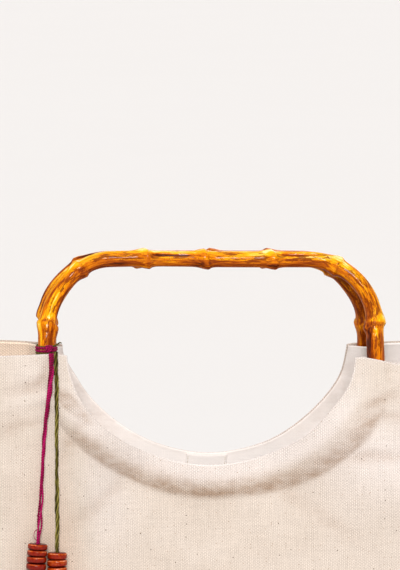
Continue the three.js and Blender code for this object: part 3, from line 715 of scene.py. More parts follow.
def crease_distance(face, angle):
    """How far in from the rim the crease under it runs, which is more at the sides."""
    right, left = (smoothstep(sign * np.cos(angle), 0.1, 0.75) for sign in (1, -1))
    return ROLL["crease"] + face["crease_extra"][1] * right + face["crease_extra"][0] * left


def rim_roll(face, angle, inward, swollen=1.0):
    strength = smoothstep(np.sin(angle), ROLL["from"], ROLL["to"])
    crease = crease_distance(face, angle)
    below = -ROLL["tuck"] * np.exp(np.minimum(0, crease - inward) / ROLL["recovery"])
    rise = np.sin(math.pi * np.minimum(inward, ROLL["swell_at"]) / (2 * ROLL["swell_at"]))
    swell = swollen * ROLL["swell"] * rise
    tucked = np.clip((inward - ROLL["swell_at"]) / (crease - ROLL["swell_at"]), 0, 1) ** 1.6
    return strength * np.where(inward >= crease, below, lerp(swell, -ROLL["tuck"], tucked))


def fold_depth(folds, across, drop):
    total = np.zeros_like(across)
    for fold_across, fold_drop, degrees, long, wide, deep in folds:
        turn = math.radians(degrees)
        dx, dz = across - fold_across, fold_drop - drop
        along = (dx * math.cos(turn) + dz * math.sin(turn)) / long
        over = (dz * math.cos(turn) - dx * math.sin(turn)) / wide
        total += deep * np.exp(-along ** 2 - over ** 2)
    return total


def soft_relief(seed, across, drop, inward, border):
    """Slack that the solids leave out: slow swells, small ripples and puckers along the seams."""
    open_cloth = smoothstep(inward, 4, 30) * smoothstep(border, 0, 30)
    slow = SLACK["slow"] * ripple(seed, across, drop, (55, 120))
    small = SLACK["small"] * ripple(seed + 1, across, drop, (13, 34), 22)
    near_seam = SLACK["pucker"] * np.exp(-border / SLACK["pucker_reach"])
    pucker = near_seam * ripple(seed + 2, across, drop, (7, 13), 10)
    return open_cloth * (slow + small) + pucker * smoothstep(border, 0, 2) * smoothstep(inward, 8, 20)


def cloth_point(face, angle, inward, swollen=1.0):
    """Points of a panel's outer face, or of the flatter ply behind its rolled rim."""
    angle, inward = np.clip(angle, 0, math.pi), np.maximum(inward, 0)
    reach = scoop_radius(angle) + inward
    across, drop = reach * np.cos(angle), reach * np.sin(angle)
    start = rim_half_depth(angle)
    slope = FALL["slope"] * np.sqrt(np.sin(angle)) * (1 - FALL["centre_ease"] * np.sin(angle) ** 2)
    fallen, limit = slope * inward, BAG["belly_half_depth"] - start
    cloth = start + fallen / (1 + (fallen / limit) ** 6) ** (1 / 6) + rim_roll(face, angle, inward, swollen)
    border = np.maximum(outline_radius(angle) - reach, 0)
    pull = np.maximum(0, 1 - border / SEAM["reach"]) ** 2
    folded = cloth + fold_depth(face["folds"], across, drop) * np.minimum(1, border / SEAM["reach"])
    half = lerp(folded, seam_half_depth(drop) + SEAM["round"], pull)
    half = half - SEAM["round"] * np.exp(-border / SEAM["round_length"])
    half = half + soft_relief(face["seed"], across, drop, inward, border)
    height = BAG["height"] - drop - shoulder_fall(face["fall"], across, drop)
    lift_at, lift_wide, lift_high = face["edge_lift"]
    near_top = 1 - smoothstep(drop, 0, EDGE_LIFT_DROP)
    height = height + lift_high * bell(across - lift_at, lift_wide) * near_top
    cut = CORNER_CUT["depth"] * np.maximum(0, 1 - inward / CORNER_CUT["inward"]) ** 2
    height = height - cut * np.maximum(0, 1 - drop / CORNER_CUT["drop"]) ** 2
    steady = smoothstep(np.abs(across), STEADY["from"], STEADY["to"])
    steady = steady * (1 - smoothstep(drop, STEADY["drop_from"], STEADY["drop_to"]))
    steady = steady * np.where(across > 0, STEADY["right"], 1)
    swayed = face["sway"] * np.exp(-inward / SWAY["reach"]) * smoothstep(border, 0, SWAY["border"])
    pulled = face["pull"] * bell(drop - PULL["drop"], PULL["half_height"])
    pulled = pulled * smoothstep(across, PULL["from"], PULL["to"]) * np.exp(-inward / PULL["reach"])
    across = across + swayed * (1 - steady)
    return np.stack([across - pulled, face["side"] * half, height], -1)


def cloth_normal(face, angle, inward, swollen=1.0):
    turn, step = 0.004, 0.4
    before, after = (cloth_point(face, angle + sign * turn, inward, swollen) for sign in (-1, 1))
    inner, outer = (cloth_point(face, angle, inward + sign * step, swollen) for sign in (-1, 1))
    normal = unit(np.cross(after - before, outer - inner))
    return normal * (np.sign(normal[..., 1:2]) * face["side"])


EDGE_ROUND = 0.9
EDGE_STEPS = np.array([0, 0.07, 0.22, 0.45, 0.75, 1.2])


def steps_between(low, high, count, ease=1.0):
    """Distances from low to high that stand close together at both edges."""
    middle = np.linspace(0, 1, count) ** ease
    inner = lerp(low + EDGE_STEPS[-1], high - EDGE_STEPS[-1], middle[1:-1])
    return np.concatenate([low + EDGE_STEPS, inner, high - EDGE_STEPS[::-1]])


def column_angles(counts):
    """Angles of the columns from the right shoulder to the left, close together at both top edges."""
    first = EDGE_STEPS / 125
    spans = [(first[-1], math.radians(25)), (math.radians(25), CORNER_FROM), (CORNER_FROM, CORNER_TO),
             (CORNER_TO, math.pi / 2)]
    half = list(first)
    for (low, high), count in zip(spans, counts):
        half += list(np.linspace(low, high, count + 1)[1:])
    half = np.array(half)
    return np.concatenate([half, math.pi - half[-2::-1]])


def split_corners(quads, columns):
    """The quads of a grid but for its corners, and these as triangles that meet at the corner point."""
    places = [0, columns - 2, len(quads) - 1, len(quads) - columns + 1]
    fans = []
    for turn, place in enumerate(places):
        a, b, c, d = np.roll(quads[place], -turn).tolist()
        fans.append([(a, b, c), (a, c, d)])
    return np.delete(quads, places, 0), fans


def add_sheet(name, material, middle, normal, edge, uv, **values):
    """A closed sheet one ply thick about a grid of points; edge is how far each is from its rounded edges."""
    rows, columns = edge.shape
    edge[:, 0] = edge[:, -1] = edge[0] = edge[-1] = 0
    arc = 1 - np.minimum(edge / EDGE_ROUND, 1)
    half = (PLY / 2 * np.sqrt(np.maximum(1 - arc ** 2, 0)))[..., None]
    inside = np.zeros((rows, columns), bool)
    inside[1:-1, 1:-1] = True
    outer = np.arange(rows * columns).reshape(rows, columns)
    inner = outer.copy()
    inner[inside] = rows * columns + np.arange(inside.sum())

    def both(table):
        return np.concatenate([table.reshape(rows * columns, *table.shape[2:]), table[inside]])

    points = np.concatenate([(middle + normal * half).reshape(-1, 3), (middle - normal * half)[inside]])
    front, front_fans = split_corners(grid_quads(outer), columns)
    rear, rear_fans = split_corners(grid_quads(inner), columns)
    fans = front_fans + [[face[::-1] for face in fan] for fan in rear_fans]
    return add_piece(name, points, np.vstack([front, rear[:, ::-1]]), material, uv=both(uv * MM), fans=fans,
                     **{key: both(value) for key, value in values.items()})


def add_panel(name, face, material):
    counts, rows = PANEL_GRID
    angles = column_angles(counts)
    width = outline_radius(angles) - scoop_radius(angles)
    inward = np.stack([steps_between(0, wide, rows, 1.15) for wide in width], 1)
    angle = np.broadcast_to(angles, inward.shape)
    reach = scoop_radius(angle) + inward
    drop = reach * np.sin(angle)
    border = np.maximum(outline_radius(angle) - reach, 0)
    edge = np.minimum(np.minimum(inward, border), drop)
    normal = cloth_normal(face, angle, inward)
    outer = cloth_point(face, angle, inward)
    hem = smoothstep(np.sin(angle), ROLL["from"], ROLL["to"])
    # Where the valley under the rim gets painted shade
    valley_shade_mask = np.where(np.cos(angle) < 0, smoothstep(np.sin(angle), 0.36, 0.60), hem)
    # Painted light: the rolled rim is paler near its edge, and the cut edge carries a painted highlight
    band = (1 - smoothstep(inward, 6, 18)) * lerp(0.25, 1, hem)
    glow = face["edge_highlight"] * lerp(0.7, 1, np.sin(angle) ** 4)
    band = np.maximum(band, glow * (1 - smoothstep(np.minimum(inward, drop), 0.7, 1.5)))
    # Patches of painted light, or of painted warm shade where the share is negative
    for patch_across, patch_drop, wide, high, share in face["painted_patches"]:
        patch = share * bell(outer[..., 0] - patch_across, wide) * bell(drop - patch_drop, high)
        band = np.maximum(band, patch) if share > 0 else band + patch
    # Painted shade in the valley under the rolled rim
    off = inward - crease_distance(face, angle) + 3
    wide = np.where(off < 0, 9.5, lerp(2.8, 1.7, np.sin(angle) ** 4))
    crease = 0.64 * valley_shade_mask * lerp(1, 0.8, np.abs(np.cos(angle))) * bell(off, wide)
    # Painted shade along the right part of the rim's edge, as a brown line
    edge_shade = face["edge_tone"] * smoothstep(outer[..., 0], 36, 62) * (1 - smoothstep(inward, 0.8, 1.5))
    edge_shade = edge_shade * lerp(0.35, 1, smoothstep(drop, 6, 22))
    # Painted shade in the hollows of the narrow folds
    sharp = [fold for fold in face["folds"] if fold[4] < 6.5]
    hollow = -fold_depth(sharp, reach * np.cos(angle), drop) * np.minimum(1, border / SEAM["reach"])
    crease = np.maximum(np.maximum(crease, edge_shade), 0.21 * np.clip(hollow, 0, 2))
    uv = np.stack([outer[..., 0], outer[..., 2]], -1)
    return add_sheet(name, material, outer - normal * PLY / 2, normal, edge, uv, band=band, crease=crease)


def back_leg_shift(across):
    """How far the back cane's leg at this side stands to the right of its place in the solids."""
    return lerp(BACK_SHIFT["left"], BACK_SHIFT["right"], np.clip(across / CANE["span"] + 0.5, 0, 1))


def pocket_depth(face, across, drop):
    moved = across - (back_leg_shift(across) if face["side"] > 0 else 0)
    off = np.minimum(np.abs(np.abs(moved) - CANE["span"] / 2) / POCKET["half_width"], 1)
    bottom = CANE["buried"] * math.cos(CANE["lean"]) + POCKET["slack"]
    open_share = 1 - smoothstep(drop, bottom, bottom + POCKET["fade"])
    return POCKET["depth"] * open_share * np.cos(off * math.pi / 2) ** 2


def facing_point(face, angle, inward, behind):
    flat = FACING["swollen"]
    point = cloth_point(face, angle, inward, flat) - cloth_normal(face, angle, inward, flat) * behind
    point[..., 1] -= face["side"] * pocket_depth(face, point[..., 0], BAG["height"] - point[..., 2])
    return point


def grid_normal(points, side):
    """Normals of a grid of points, turned to one side along Y."""
    normal = unit(np.cross(np.gradient(points, axis=0), np.gradient(points, axis=1)))
    return normal * np.sign(normal[..., 1:2] + 1e-9) * side


def add_facing(name, face, material):
    counts, rows = FACING_GRID
    angles = column_angles(counts)
    width = FACING["width"] + FACING["shoulder_extra"] * np.cos(angles) ** 2
    start = face["facing_start"] * smoothstep(np.cos(angles), 0.25, 0.6)
    inward = np.stack([steps_between(low, high, rows) for low, high in zip(start, width)], 1)
    angle = np.broadcast_to(angles, inward.shape)
    drop = (scoop_radius(angle) + inward) * np.sin(angle)
    edge = np.minimum(np.minimum(inward - start, width[None] - inward), drop)
    seated = 0.22 * np.exp(-np.minimum(inward, drop) / 4)
    behind = 1.5 * PLY + GAP - seated
    middle = facing_point(face, angle, inward, behind[..., None])
    uv = np.stack([middle[..., 0] + WEAVE_SHIFT["facing"], middle[..., 2]], -1)
    # Painted light: the facings are paler than the panels, and warmer at their left shoulders
    left = smoothstep(-middle[..., 0], 92, 108)
    band = lerp(1.6, 2.0, left)
    # Painted shade on the side strips of the facing and along its rim edge
    strip = np.where(np.cos(angle) < 0, 0.26 * smoothstep(np.sin(angle), 0.08, 0.35),
                     0.17 * smoothstep(np.sin(angle), 0.02, 0.16))
    strip = strip * (1 - smoothstep(np.sin(angle), 0.5, 0.95))
    edge_shade = 0.14 * (1 - smoothstep(inward - start, 0.6, 3.0))
    facing_shade = np.maximum(strip, edge_shade) * (1 - left)
    normal = grid_normal(middle, face["side"])
    return add_sheet(name, material, middle, normal, edge, uv, band=band, crease=facing_shade)


def outline_normal(angle):
    """The direction from the outline into the bag, in the plane of the panels."""
    low, high = np.maximum(angle - 1e-3, 0), np.minimum(angle + 1e-3, math.pi)
    ends = [outline_radius(a)[..., None] * np.stack([np.cos(a), -np.sin(a)], -1) for a in (low, high)]
    along = unit(ends[1] - ends[0])
    return np.stack([along[..., 1], np.zeros_like(angle), -along[..., 0]], -1)


def add_gusset(name, material):
    counts, rows = GUSSET_GRID
    angles = column_angles(counts)
    reach = outline_radius(angles)
    across, drop = reach * np.cos(angles), reach * np.sin(angles)
    half = seam_half_depth(drop) - PLY + SEAM["overlap"]
    over = np.stack([steps_between(-wide, wide, rows) for wide in half], 1)
    share = over / half[None]
    upright = 1 - smoothstep(drop, CORNER_DROP - BAG["corner_radius"], CORNER_DROP)
    dent = GUSSET["dent"] * (1 - smoothstep(drop, 0, GUSSET["dent_drop"])) - GUSSET["belly"] * upright
    inwards = PLY / 2 + np.maximum(-GUSSET["belly"], dent) * (1 - share ** 2) ** 2 * upright
    line = run_length(np.stack([across, drop], 1))
    run = np.broadcast_to(line, over.shape)
    border = half[None] - np.abs(over)
    slack = GUSSET["slack"] * ripple(GUSSET["seed"], over, run, (30, 80)) * smoothstep(border, 0, 25)
    pucker = GUSSET["pucker"] * ripple(GUSSET["seed"] + 2, over, run, (7, 13), 10)
    slack = slack + pucker * np.exp(-border / SLACK["pucker_reach"])
    inwards = inwards + slack * upright * smoothstep(drop, 0, 15)
    falls = [shoulder_fall(face["fall"], across, drop) for face in (FRONT, BACK)]
    height = BAG["height"] - drop - lerp(falls[0][None], falls[1][None], share / 2 + 0.5)
    flat = np.stack([np.broadcast_to(across, over.shape), over, height], -1)
    middle = flat + outline_normal(angles)[None] * inwards[..., None]
    normal = unit(np.cross(np.gradient(middle, axis=0), np.gradient(middle, axis=1)))
    normal *= np.sign(-(normal * outline_normal(angles)[None]).sum(-1, keepdims=True))
    edge = np.minimum(border, np.minimum(run, line[-1] - run))
    uv = np.stack([over + WEAVE_SHIFT["gusset"], run], -1)
    none = np.zeros_like(edge)
    return add_sheet(name, material, middle, normal, edge, uv, band=none, crease=none)


def tab_place(across, inward):
    """Angle of a place on the tab, which lies upright on the middle of the back facing."""
    return math.pi / 2 - np.arctan2(across, SCOOP["depth"] + inward)


def add_tab(name, material):
    columns = TAB["across"] + steps_between(-TAB["width"] / 2, TAB["width"] / 2, 16)
    rows = steps_between(TAB["top"], TAB["bottom"], 12)
    across, inward = np.meshgrid(columns, rows)
    behind = 2.5 * PLY + 2 * GAP + TAB["stand_off"]
    middle = facing_point(BACK, tab_place(across, inward), inward, behind)
    edge = np.minimum(np.minimum(inward - TAB["top"], TAB["bottom"] - inward),
                      TAB["width"] / 2 - np.abs(across - TAB["across"]))
    uv = np.stack([across + WEAVE_SHIFT["tab"], inward], -1)
    # Painted shade along the tab's top edge, and painted light that makes the tab as pale as the facing
    edge_shade = 0.10 * (1 - smoothstep(inward - TAB["top"], 0.4, 1.6))
    return add_sheet(name, material, middle, grid_normal(middle, 1), np.maximum(edge, 0), uv,
                     band=1.6 * np.ones_like(edge), crease=edge_shade)


def add_tab_stitches(name, material):
    """A row of stitches down each side of the tab, standing just off its inner face."""
    behind = 3 * PLY + 2 * GAP + TAB["stand_off"] + STITCH["stand_off"]
    strands = []
    for sign in (-1, 1):
        column = TAB["across"] + sign * (TAB["width"] / 2 - STITCH["inset"])
        tops = np.arange(TAB["top"] + STITCH["first"], TAB["bottom"] - STITCH["last"], STITCH["step"])
        for top in tops:
            inward = np.linspace(top, top + STITCH["length"], 7)
            bow = STITCH["bow"] * np.sin(np.linspace(0, math.pi, 7))
            line = facing_point(BACK, tab_place(column, inward), inward, behind)
            line[:, 1] -= bow
            strands.append(yarn(line, STITCH["radius"], 2, 1.3, sides=8))
    return add_yarns(name, material, strands)


# Bamboo handles

def cane_line(places):
    """Points of the cane's middle line in its own frame, and the directions away from the arch."""
    half, radius = CANE["span"] / 2, CANE["corner_radius"]
    bend, spring = half - radius, CANE["rise"] - radius
    arc = radius * math.pi / 2
    off = np.abs(places)
    turn = np.clip((off - bend) / radius, 0, math.pi / 2)
    across = np.minimum(off, bend) + radius * np.sin(turn)
    up = spring + radius * np.cos(turn) - np.maximum(off - bend - arc, 0)
    sign = np.sign(places)
    middle = np.stack([sign * across, np.zeros_like(off), up], 1)
    outward = np.stack([sign * np.sin(turn), np.zeros_like(off), np.cos(turn)], 1)
    return middle, outward


def cane_half_length():
    bend = CANE["span"] / 2 - CANE["corner_radius"]
    return bend + CANE["corner_radius"] * math.pi / 2 + CANE["rise"] - CANE["corner_radius"] + CANE["buried"]


def cane_shape(places, turn, seed, inner_glow):
    """Radius of the cane at places along it and turns round it, with the values that its material reads.

    Turn 0 is away from the arch, and a quarter turn faces the front. From each node a groove runs on along
    the cane, on the front and on the back by turns, with a bud scar at its start."""
    rng = np.random.default_rng(seed)
    half = cane_half_length()
    leg = smoothstep(np.abs(places), half / 2, half / 1.2)
    radius = lerp(CANE["bar_radius"], CANE["leg_radius"], leg)[:, None] + np.zeros(len(turn))
    radius += 0.10 * np.sin(2 * turn + rng.uniform(0, 6))[None] + 0.07 * np.sin(places / 11.0)[:, None]
    ring, pale, tone, clean = (np.zeros_like(radius) for _ in range(4))
    starts = [-half - 25] + NODE_PLACES
    ends = NODE_PLACES + [half + 25]
    for start, end, (degrees, width, depth, reach, shade, stripe) in zip(starts, ends, GROOVES):
        share = (places - start) / (end - start)
        within = ((share >= 0) & (share < 1))[:, None]
        centre = math.radians(degrees) + rng.uniform(-0.05, 0.05)
        off = ((turn - centre + math.pi) % (2 * math.pi) - math.pi)[None]
        wide = (width * lerp(1.1, 0.5, np.clip(share, 0, 1)))[:, None]
        taper = within * (smoothstep(share, 0.04, 0.14) * (1 - smoothstep(share, reach / 2, reach)))[:, None]
        groove = taper * bell(off, wide)
        ridge = taper * bell(np.abs(off) - 1.8 * wide, 0.16)
        glow = taper * bell(off - 1.1, 0.34) * (1 - np.clip(share, 0, 1))[:, None]
        radius += depth * (0.26 * ridge - groove)
        # Paler ridges beside a dark groove: partly the cane's colour, partly a painted highlight on the
        # raised ridges
        tone += within * shade + stripe * groove - max(stripe, -0.24) * ridge + 0.34 * glow
        clean += groove if stripe > 0 else 0
        bud_off = (places - start - BUD["past"])[:, None]
        bud = bell(bud_off, BUD["long"]) * bell(off, BUD["wide"])
        radius += BUD["rise"] * bud
        scar = 0.2 if stripe > 0 else 0.85
        # A painted highlight on each bud scar
        tone += 0.45 * within * bell(bud_off + 0.4, 0.9) * bell(off + 0.12, 0.13)
        rim = bell(np.hypot(bud_off / 2.7, off / 0.42) - 1, 0.28)
        ring += scar * within * rim * smoothstep(off, -0.1, 0.3)
        pale += 0.15 * bud
    for at, swell, slant in CANE_NODES:
        wave = 0.4 * np.sin(turn + rng.uniform(0, 6)) + 0.6 * np.sin(2 * turn + rng.uniform(0, 6))
        wave += slant * np.cos(turn)
        off = places[:, None] - at - wave[None]
        radius += swell * bell(off, np.where(off < 0, NODE_RISE, NODE_DROP))
        radius += 0.20 * bell(off - 0.6, 0.7) - 0.16 * bell(off - 2.6, 0.9)
        ring += 0.24 * bell(off - 2.4, 0.6)
        pale += bell(off + 1.0, 3.6) + 0.6 * bell(off - 6.0, 3.0)
        # A painted highlight on the upper front of each node
        tone += 0.30 * bell(off + 2.5, 2.2) * bell(turn - 0.74, 0.16)
    # Painted light on the upper front and painted shade on the underside along the bar, a darker outer edge,
    # and painted highlights as pale streaks over the bends
    away = np.abs((turn + math.pi) % (2 * math.pi) - math.pi)
    level = 1 - smoothstep(np.abs(places), 66, 118)[:, None]
    tone += level * 0.24 * bell(away - 0.95, 0.42) - lerp(0.18, 0.32, level) * smoothstep(away, 1.35, 2.5)
    tone += lerp(0.55, 0.64, level) - 0.14 * bell(away, 0.3)
    # Paler near the nodes; along the bar this shows only on the upper side, which is painted light
    tone += pale * lerp(0.16, -0.02, level * smoothstep(away, 0.7, 1.5))
    scorch = (bell(away - 1.75, 0.45) + 0.6 * (1 - level)) * (1 - clean) - 1.2 * pale
    # Painted shade outside and painted light on the inner side of the back cane
    tone += inner_glow * (1.6 * smoothstep(away, 0.9, 2.0) - 1)
    bend = smoothstep(np.abs(places), 46, 62)[:, None]
    left_bend = bend * (places < 0)[:, None]
    tone += 0.40 * bend * bell(away - 0.42, 0.11) + 0.34 * left_bend * bell(away - 0.80, 0.11)
    scorch -= 0.7 * left_bend * bell(away - 0.6, 0.5)
    return radius, tone, np.clip(ring, 0, 0.85), np.clip(scorch, -1, 1)


def add_handle(name, side, seed, material):
    """A cane handle in its leaning frame; the back one is turned round."""
    half = cane_half_length()
    places = np.linspace(-half, half, CANE_RINGS)
    turn = full_turn(CANE_SIDES)
    radius, tone, ring, scorch = cane_shape(places, turn, seed, INNER_GLOW if side > 0 else 0)
    middle, outward = cane_line(places)
    rng = np.random.default_rng(seed + 5)
    kinks = rng.uniform(-KINK, KINK, (len(CANE_NODES), 2))
    kinks[[0, -1]] = (0, 0), (1.0, 0)
    depthwise = np.array([0, -1.0, 0])
    middle = middle + outward * np.interp(places, NODE_PLACES, kinks[:, 0])[:, None]
    for at, long, deep in FLAT_BENDS["back" if side > 0 else "front"]:
        middle = middle - outward * deep * bell(places - at, long)[:, None]
    middle = middle + depthwise * np.interp(places, NODE_PLACES, kinks[:, 1])[:, None]
    rings = middle[:, None] + radius[..., None] * (
        outward[:, None] * np.cos(turn)[None, :, None] + depthwise * np.sin(turn)[None, :, None])
    grain = np.stack([radius * np.cos(turn), radius * np.sin(turn),
                      np.broadcast_to(places[:, None] * GRAIN_STRETCH, radius.shape)], -1)
    points = rings.reshape(-1, 3)
    points[:, 2] -= CANE["back_sink"] if side > 0 else 0
    tilt = np.array(Matrix.Rotation(-CANE["lean"], 3, "X"))
    points = points @ tilt.T
    if side > 0:
        points[:, :2] *= -1
        points[:, 0] += lerp(back_leg_shift(points[:, 0]), BACK_SHIFT["top"],
                             smoothstep(points[:, 2], 0, CANE["shift_rise"]))
    points += np.array([0, side * CANE["leg_half_depth"], BAG["height"]])
    quads, fans = tube_faces(CANE_RINGS, CANE_SIDES)
    offset = np.array([0, 0, 300.0 * seed])
    return add_piece(name, points, quads, material, fans=fans, grain=(grain.reshape(-1, 3) + offset) * MM,
                     tone=tone.ravel(), ring=ring.ravel(), scorch=scorch.ravel())


# Ties round the handle leg, knots and beads

def tie_loop(lift, radius, count=90, wobble=0.0):
    """A loop round the leaning left leg of the front handle, level but for a small wobble."""
    stand = 0.9 * radius
    turn = full_turn(count)
    across = -CANE["span"] / 2 + (CANE["leg_radius"] + stand) * np.cos(turn)
    depth = (CANE["leg_radius"] / math.cos(CANE["lean"]) + stand) * np.sin(turn)
    depth += lift * math.tan(CANE["lean"]) - CANE["leg_half_depth"]
    height = BAG["height"] + lift + wobble * np.sin(turn + 0.7)
    return np.stack([across, depth, height], 1)


def knot_line(centre, size, count=120):
    """A closed overhand knot about a centre."""
    turn = full_turn(count)
    knot = np.stack([np.sin(turn) + 2 * np.sin(2 * turn), 0.8 * np.sin(3 * turn),
                     np.cos(turn) - 2 * np.cos(2 * turn)], 1)
    return np.array(centre) + knot * size / 3.9


def add_ties(name, material, loops, knots, ends):
    yarns = [yarn(tie_loop(lift, radius, wobble=wobble), radius, 3, 5.0, sides=15, closed=True)
             for lift, radius, wobble in loops]
    yarns += [yarn(knot_line(centre, size), radius, 2, 3.0, sides=10, closed=True)
              for centre, size, radius in knots]
    yarns += [yarn(smooth_route(end), 0.5, 2, 2.6, sides=10) for end in ends]
    return add_yarns(name, material, yarns)


def add_end_knot(name, colour, material):
    """The knot that stops the beads, with the cord's two cut ends below it."""
    centre = route_line(colour)[-1] - np.array([0, 0, GAP + END_KNOT["radius"] * END_KNOT["squash"]])
    yarns = [yarn(knot_line(centre, END_KNOT["radius"]), END_KNOT["yarn"], 2, 3.0, sides=10, closed=True)]
    for sign in (-1, 1):
        drop = np.linspace(0, END_KNOT["tail"] + sign, 14)
        tail = centre + np.stack([sign * (0.3 + 0.10 * drop), -0.05 * drop, -drop], 1)
        yarns.append(yarn(tail, np.linspace(0.75, 0.6, 14), 2, 2.8, sides=10))
    return add_yarns(name, material, yarns)


def bead_profile(kind, half):
    """Half the section of a bead, from its bore outwards and back, as radius and height.

    half is half the height of the bead."""
    if kind == "disc":
        curve, flat = DISC["round"], DISC["radius"] - DISC["round"]
        turn = np.linspace(-math.pi / 2, 0, 7)
        low = np.stack([flat + curve * np.cos(turn), curve - half + curve * np.sin(turn)], 1)
        mouth = [(BEAD_BORE, 0.4 - half), (BEAD_BORE + 0.12, 0.12 - half), (BEAD_BORE + 0.4, -half),
                 (3.2, -half)]
        lower = np.vstack([mouth, low])
    else:
        start = -math.acos(BEAD_BORE / BALL_RADIUS)
        turn = np.linspace(start, 0, 14)
        lower = np.stack([BALL_RADIUS * np.cos(turn), half * np.sin(turn)], 1)
        lower = np.vstack([[(BEAD_BORE, lower[0][1] + 0.5)], lower[:-1]])
    return np.vstack([lower, lower[::-1] * (1, -1)])


def route_place(colour, height):
    line = route_line(colour)
    at = len(line) - np.searchsorted(line[::-1, 2], height)
    along = unit(line[at - 2] - line[min(at + 2, len(line) - 1)])
    middle = np.array([np.interp(height, line[::-1, 2], line[::-1, k]) for k in range(3)])
    return middle, along


def add_beads(colour, materials):
    """Four discs and a round bead on a cord, each turned and grained in its own way."""
    rng = np.random.default_rng(BEAD_SEEDS[colour])
    top, beads = STACK_TOP[colour], []
    for number, kind in enumerate(["disc"] * 4 + ["ball"], 1):
        half = BEAD_HEIGHTS[colour][number - 1] / 2
        middle, along = route_place(colour, top - half)
        top -= 2 * half + GAP
        profile = bead_profile(kind, half)
        turn = full_turn(BEAD_SEGMENTS)
        uneven = 1 + rng.uniform(-0.012, 0.004) + 0.008 * np.sin(2 * turn + rng.uniform(0, 6))
        local = np.stack([profile[:, :1] * np.cos(turn) * uneven, profile[:, :1] * np.sin(turn) * uneven,
                          np.broadcast_to(profile[:, 1:], (len(profile), BEAD_SEGMENTS))], -1).reshape(-1, 3)
        lean = Vector((0, 0, 1)).rotation_difference(Vector(along)).to_matrix()
        tip_x, tip_y = rng.uniform(-0.035, 0.035), rng.uniform(-0.04, 0.04)
        tip = Matrix.Rotation(tip_x, 3, "X") @ Matrix.Rotation(tip_y, 3, "Y")
        points = local @ np.array(lean @ tip).T + middle
        cut = Matrix.Rotation(rng.uniform(0, 6), 3, "Z") @ Matrix.Rotation(1.2, 3, "X")
        grain = (local @ np.array(cut).T + rng.uniform(-200, 200, 3)) * MM
        # Painted shade between the beads and towards the bottom of each
        painted_bead_shade = smoothstep(np.abs(local[:, 2]), half - 0.5, half - 0.1) + 0.25 * (1 - local[:, 2] / half)
        outer = np.hypot(local[:, 0], local[:, 1]) > 0.8 * DISC["radius"]
        # A painted highlight round the upper rim of each bead
        painted_rim_highlight = bell(local[:, 2] / half - 0.64, 0.14) * outer
        painted_rim_highlight = painted_rim_highlight * (0.6 + 0.4 * np.sin(3 * np.arctan2(local[:, 1], local[:, 0]) + 1.9 * number))
        at = np.arange(len(local)).reshape(len(profile), BEAD_SEGMENTS)
        quads = grid_quads(at, wrap_rows=True, wrap_columns=True)
        shade = BEAD_WARMTH[colour] + rng.uniform(-0.10, 0.12) - 0.5 * painted_bead_shade + 0.75 * painted_rim_highlight + 0.10
        name = f"{colour}_string_{kind}_{number}"
        bead = add_piece(name, points, quads, materials[kind], grain=grain, shade=shade)
        beads.append(stand_in(bead, f"{colour}_bead_{number}"))
    return beads


# Floor and light

def add_floor():
    radius, count = 22.0, 96
    corners = [(radius * math.cos(turn), radius * math.sin(turn), 0) for turn in full_turn(count)]
    mesh = bpy.data.meshes.new("floor")
    mesh.from_pydata(corners, [], [list(range(count))])
    mesh.materials.append(floor_material())
    floor = bpy.data.objects.new("floor", mesh)
    bpy.context.scene.collection.objects.link(floor)


# Suns: name, strength, spread in degrees, colour and the direction in which they shine
SUN_WHITE = (1.0, 0.99, 0.98)
SUNS = [
    ("overhead", 0.84, 60, (1.0, 0.995, 0.985), (0.06, 0.26, -0.96)),
    ("back", 1.5, 40, SUN_WHITE, (-0.25, -0.85, -0.47)),
    ("left", 0.55, 50, SUN_WHITE, (0.90, -0.25, -0.35)),
    ("right", 0.55, 50, SUN_WHITE, (-0.90, -0.25, -0.35)),
    ("front", 2.9, 18, SUN_WHITE, (0.05, 0.90, -0.375)),
]


def add_sun(name, strength, spread, colour, toward):
    data = bpy.data.lights.new(name, "SUN")
    data.energy = strength
    data.angle = math.radians(spread)
    data.color = colour
    sun = bpy.data.objects.new(name, data)
    sun.rotation_mode = "QUATERNION"
    sun.rotation_quaternion = Vector(toward).to_track_quat("-Z", "Y")
    bpy.context.scene.collection.objects.link(sun)


def add_light():
    """Soft light from above and in front, and an even pale surround."""
    world = bpy.data.worlds.new("studio")
    world.use_nodes = True
    background = world.node_tree.nodes["Background"]
    background.inputs["Color"].default_value = (1.0, 0.985, 0.97, 1)
    background.inputs["Strength"].default_value = 0.32
    bpy.context.scene.world = world
    for name, strength, spread, colour, toward in SUNS:
        add_sun(name, strength, spread, colour, toward)
    bpy.context.scene.view_settings.view_transform = "Standard"


# The pieces, the floor and the light

add_camera()
MAGENTA = yarn_material("magenta_yarn", (0.045, 0.0, 0.005), (0.270, 0.0005, 0.055), (0.440, 0.007, 0.117))
OLIVE = yarn_material("olive_yarn", (0.009, 0.006, 0.0004), (0.085, 0.068, 0.006), (0.255, 0.215, 0.048))
CANVAS = canvas_material()
BAMBOO = bamboo_material()
THREAD = yarn_material("seam_thread", (0.50, 0.43, 0.35), (0.72, 0.64, 0.54), (0.82, 0.75, 0.66))
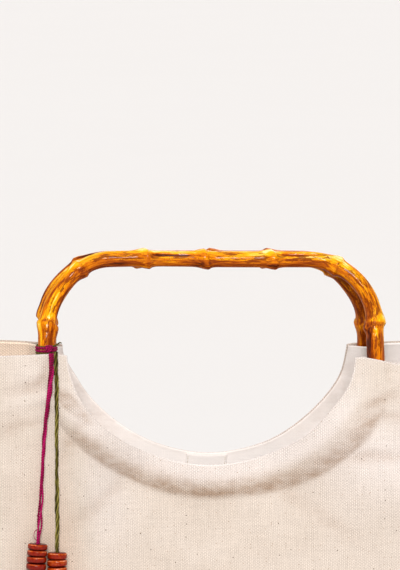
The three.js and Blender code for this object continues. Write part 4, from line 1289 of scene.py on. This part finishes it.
# The last colour of each wood is for the painted highlight on the upper rims
RED_WOOD = ((0.075, 0.002, 0.001), (0.225, 0.010, 0.001), (0.500, 0.085, 0.004), (0.86, 0.46, 0.33))
DARK_WOOD = ((0.008, 0.003, 0.002), (0.035, 0.010, 0.006), (0.070, 0.022, 0.014), (0.20, 0.09, 0.06))
BEADS = {"disc": bead_material("red_wood", *RED_WOOD), "ball": bead_material("dark_wood", *DARK_WOOD)}

for colour, material, strands in (("magenta", MAGENTA, magenta_strands), ("olive", OLIVE, olive_strands)):
    line = spread_evenly(route_line(colour), CORD_STEP)
    cord = add_yarns(f"{colour}_yarn_cord", material, strands(line))
    stand_in(cord, f"{colour}_cord")
    knot = add_end_knot(f"{colour}_tail_knot", colour, material)
    stand_in(knot, f"{colour}_end_knot")
    strung = add_beads(colour, BEADS)

knot_centre = (TIE_KNOT["across"], -TIE_KNOT["half_depth"], BAG["height"] + TIE_KNOT["lift"])
LOOSE_END = [(-96.6, -30.6, 295.6), (-95.2, -31.0, 296.4), (-93.9, -31.8, 297.6), (-92.8, -32.3, 297.3)]
# Ties: node, name, slot, material, loops as lift, radius and wobble, knots as centre, size and radius, ends
TIES = [
    ("olive_wrap_lower", "olive_low_tie", "olive_cord", OLIVE, [(1.15, 0.80, 0.15)], [], []),
    ("magenta_wrap", "magenta_tie", "magenta_cord", MAGENTA, [(2.9, 0.86, 0.35), (4.2, 0.86, -0.3)],
     [(knot_centre, TIE_KNOT["radius"], 0.9)], []),
    ("olive_wrap_upper", "olive_high_tie", "olive_cord", OLIVE, [(5.5, 0.6, 0.3)], [],
     [LOOSE_END]),
]
for node, name, slot, material, loops, knots, ends in TIES:
    stand_in(add_ties(name, material, loops, knots, ends), node)

for word, face, seed in (("front", FRONT, 3), ("back", BACK, 9)):
    cane = add_handle(f"{word}_cane", face["side"], seed, BAMBOO)
    stand_in(cane, f"{word}_handle")
    panel = add_panel(f"{word}_panel_cloth", face, CANVAS)
    stand_in(panel, f"{word}_panel")
    lining = add_facing(f"{word}_facing_cloth", face, CANVAS)
    stand_in(lining, f"{word}_facing")

strip = stand_in(add_gusset("gusset_cloth", CANVAS), "gusset")
patch = stand_in(add_tab("inner_tab_cloth", CANVAS), "inner_tab")
stitches = add_tab_stitches("inner_tab_stitches", THREAD)

add_floor()
add_light()
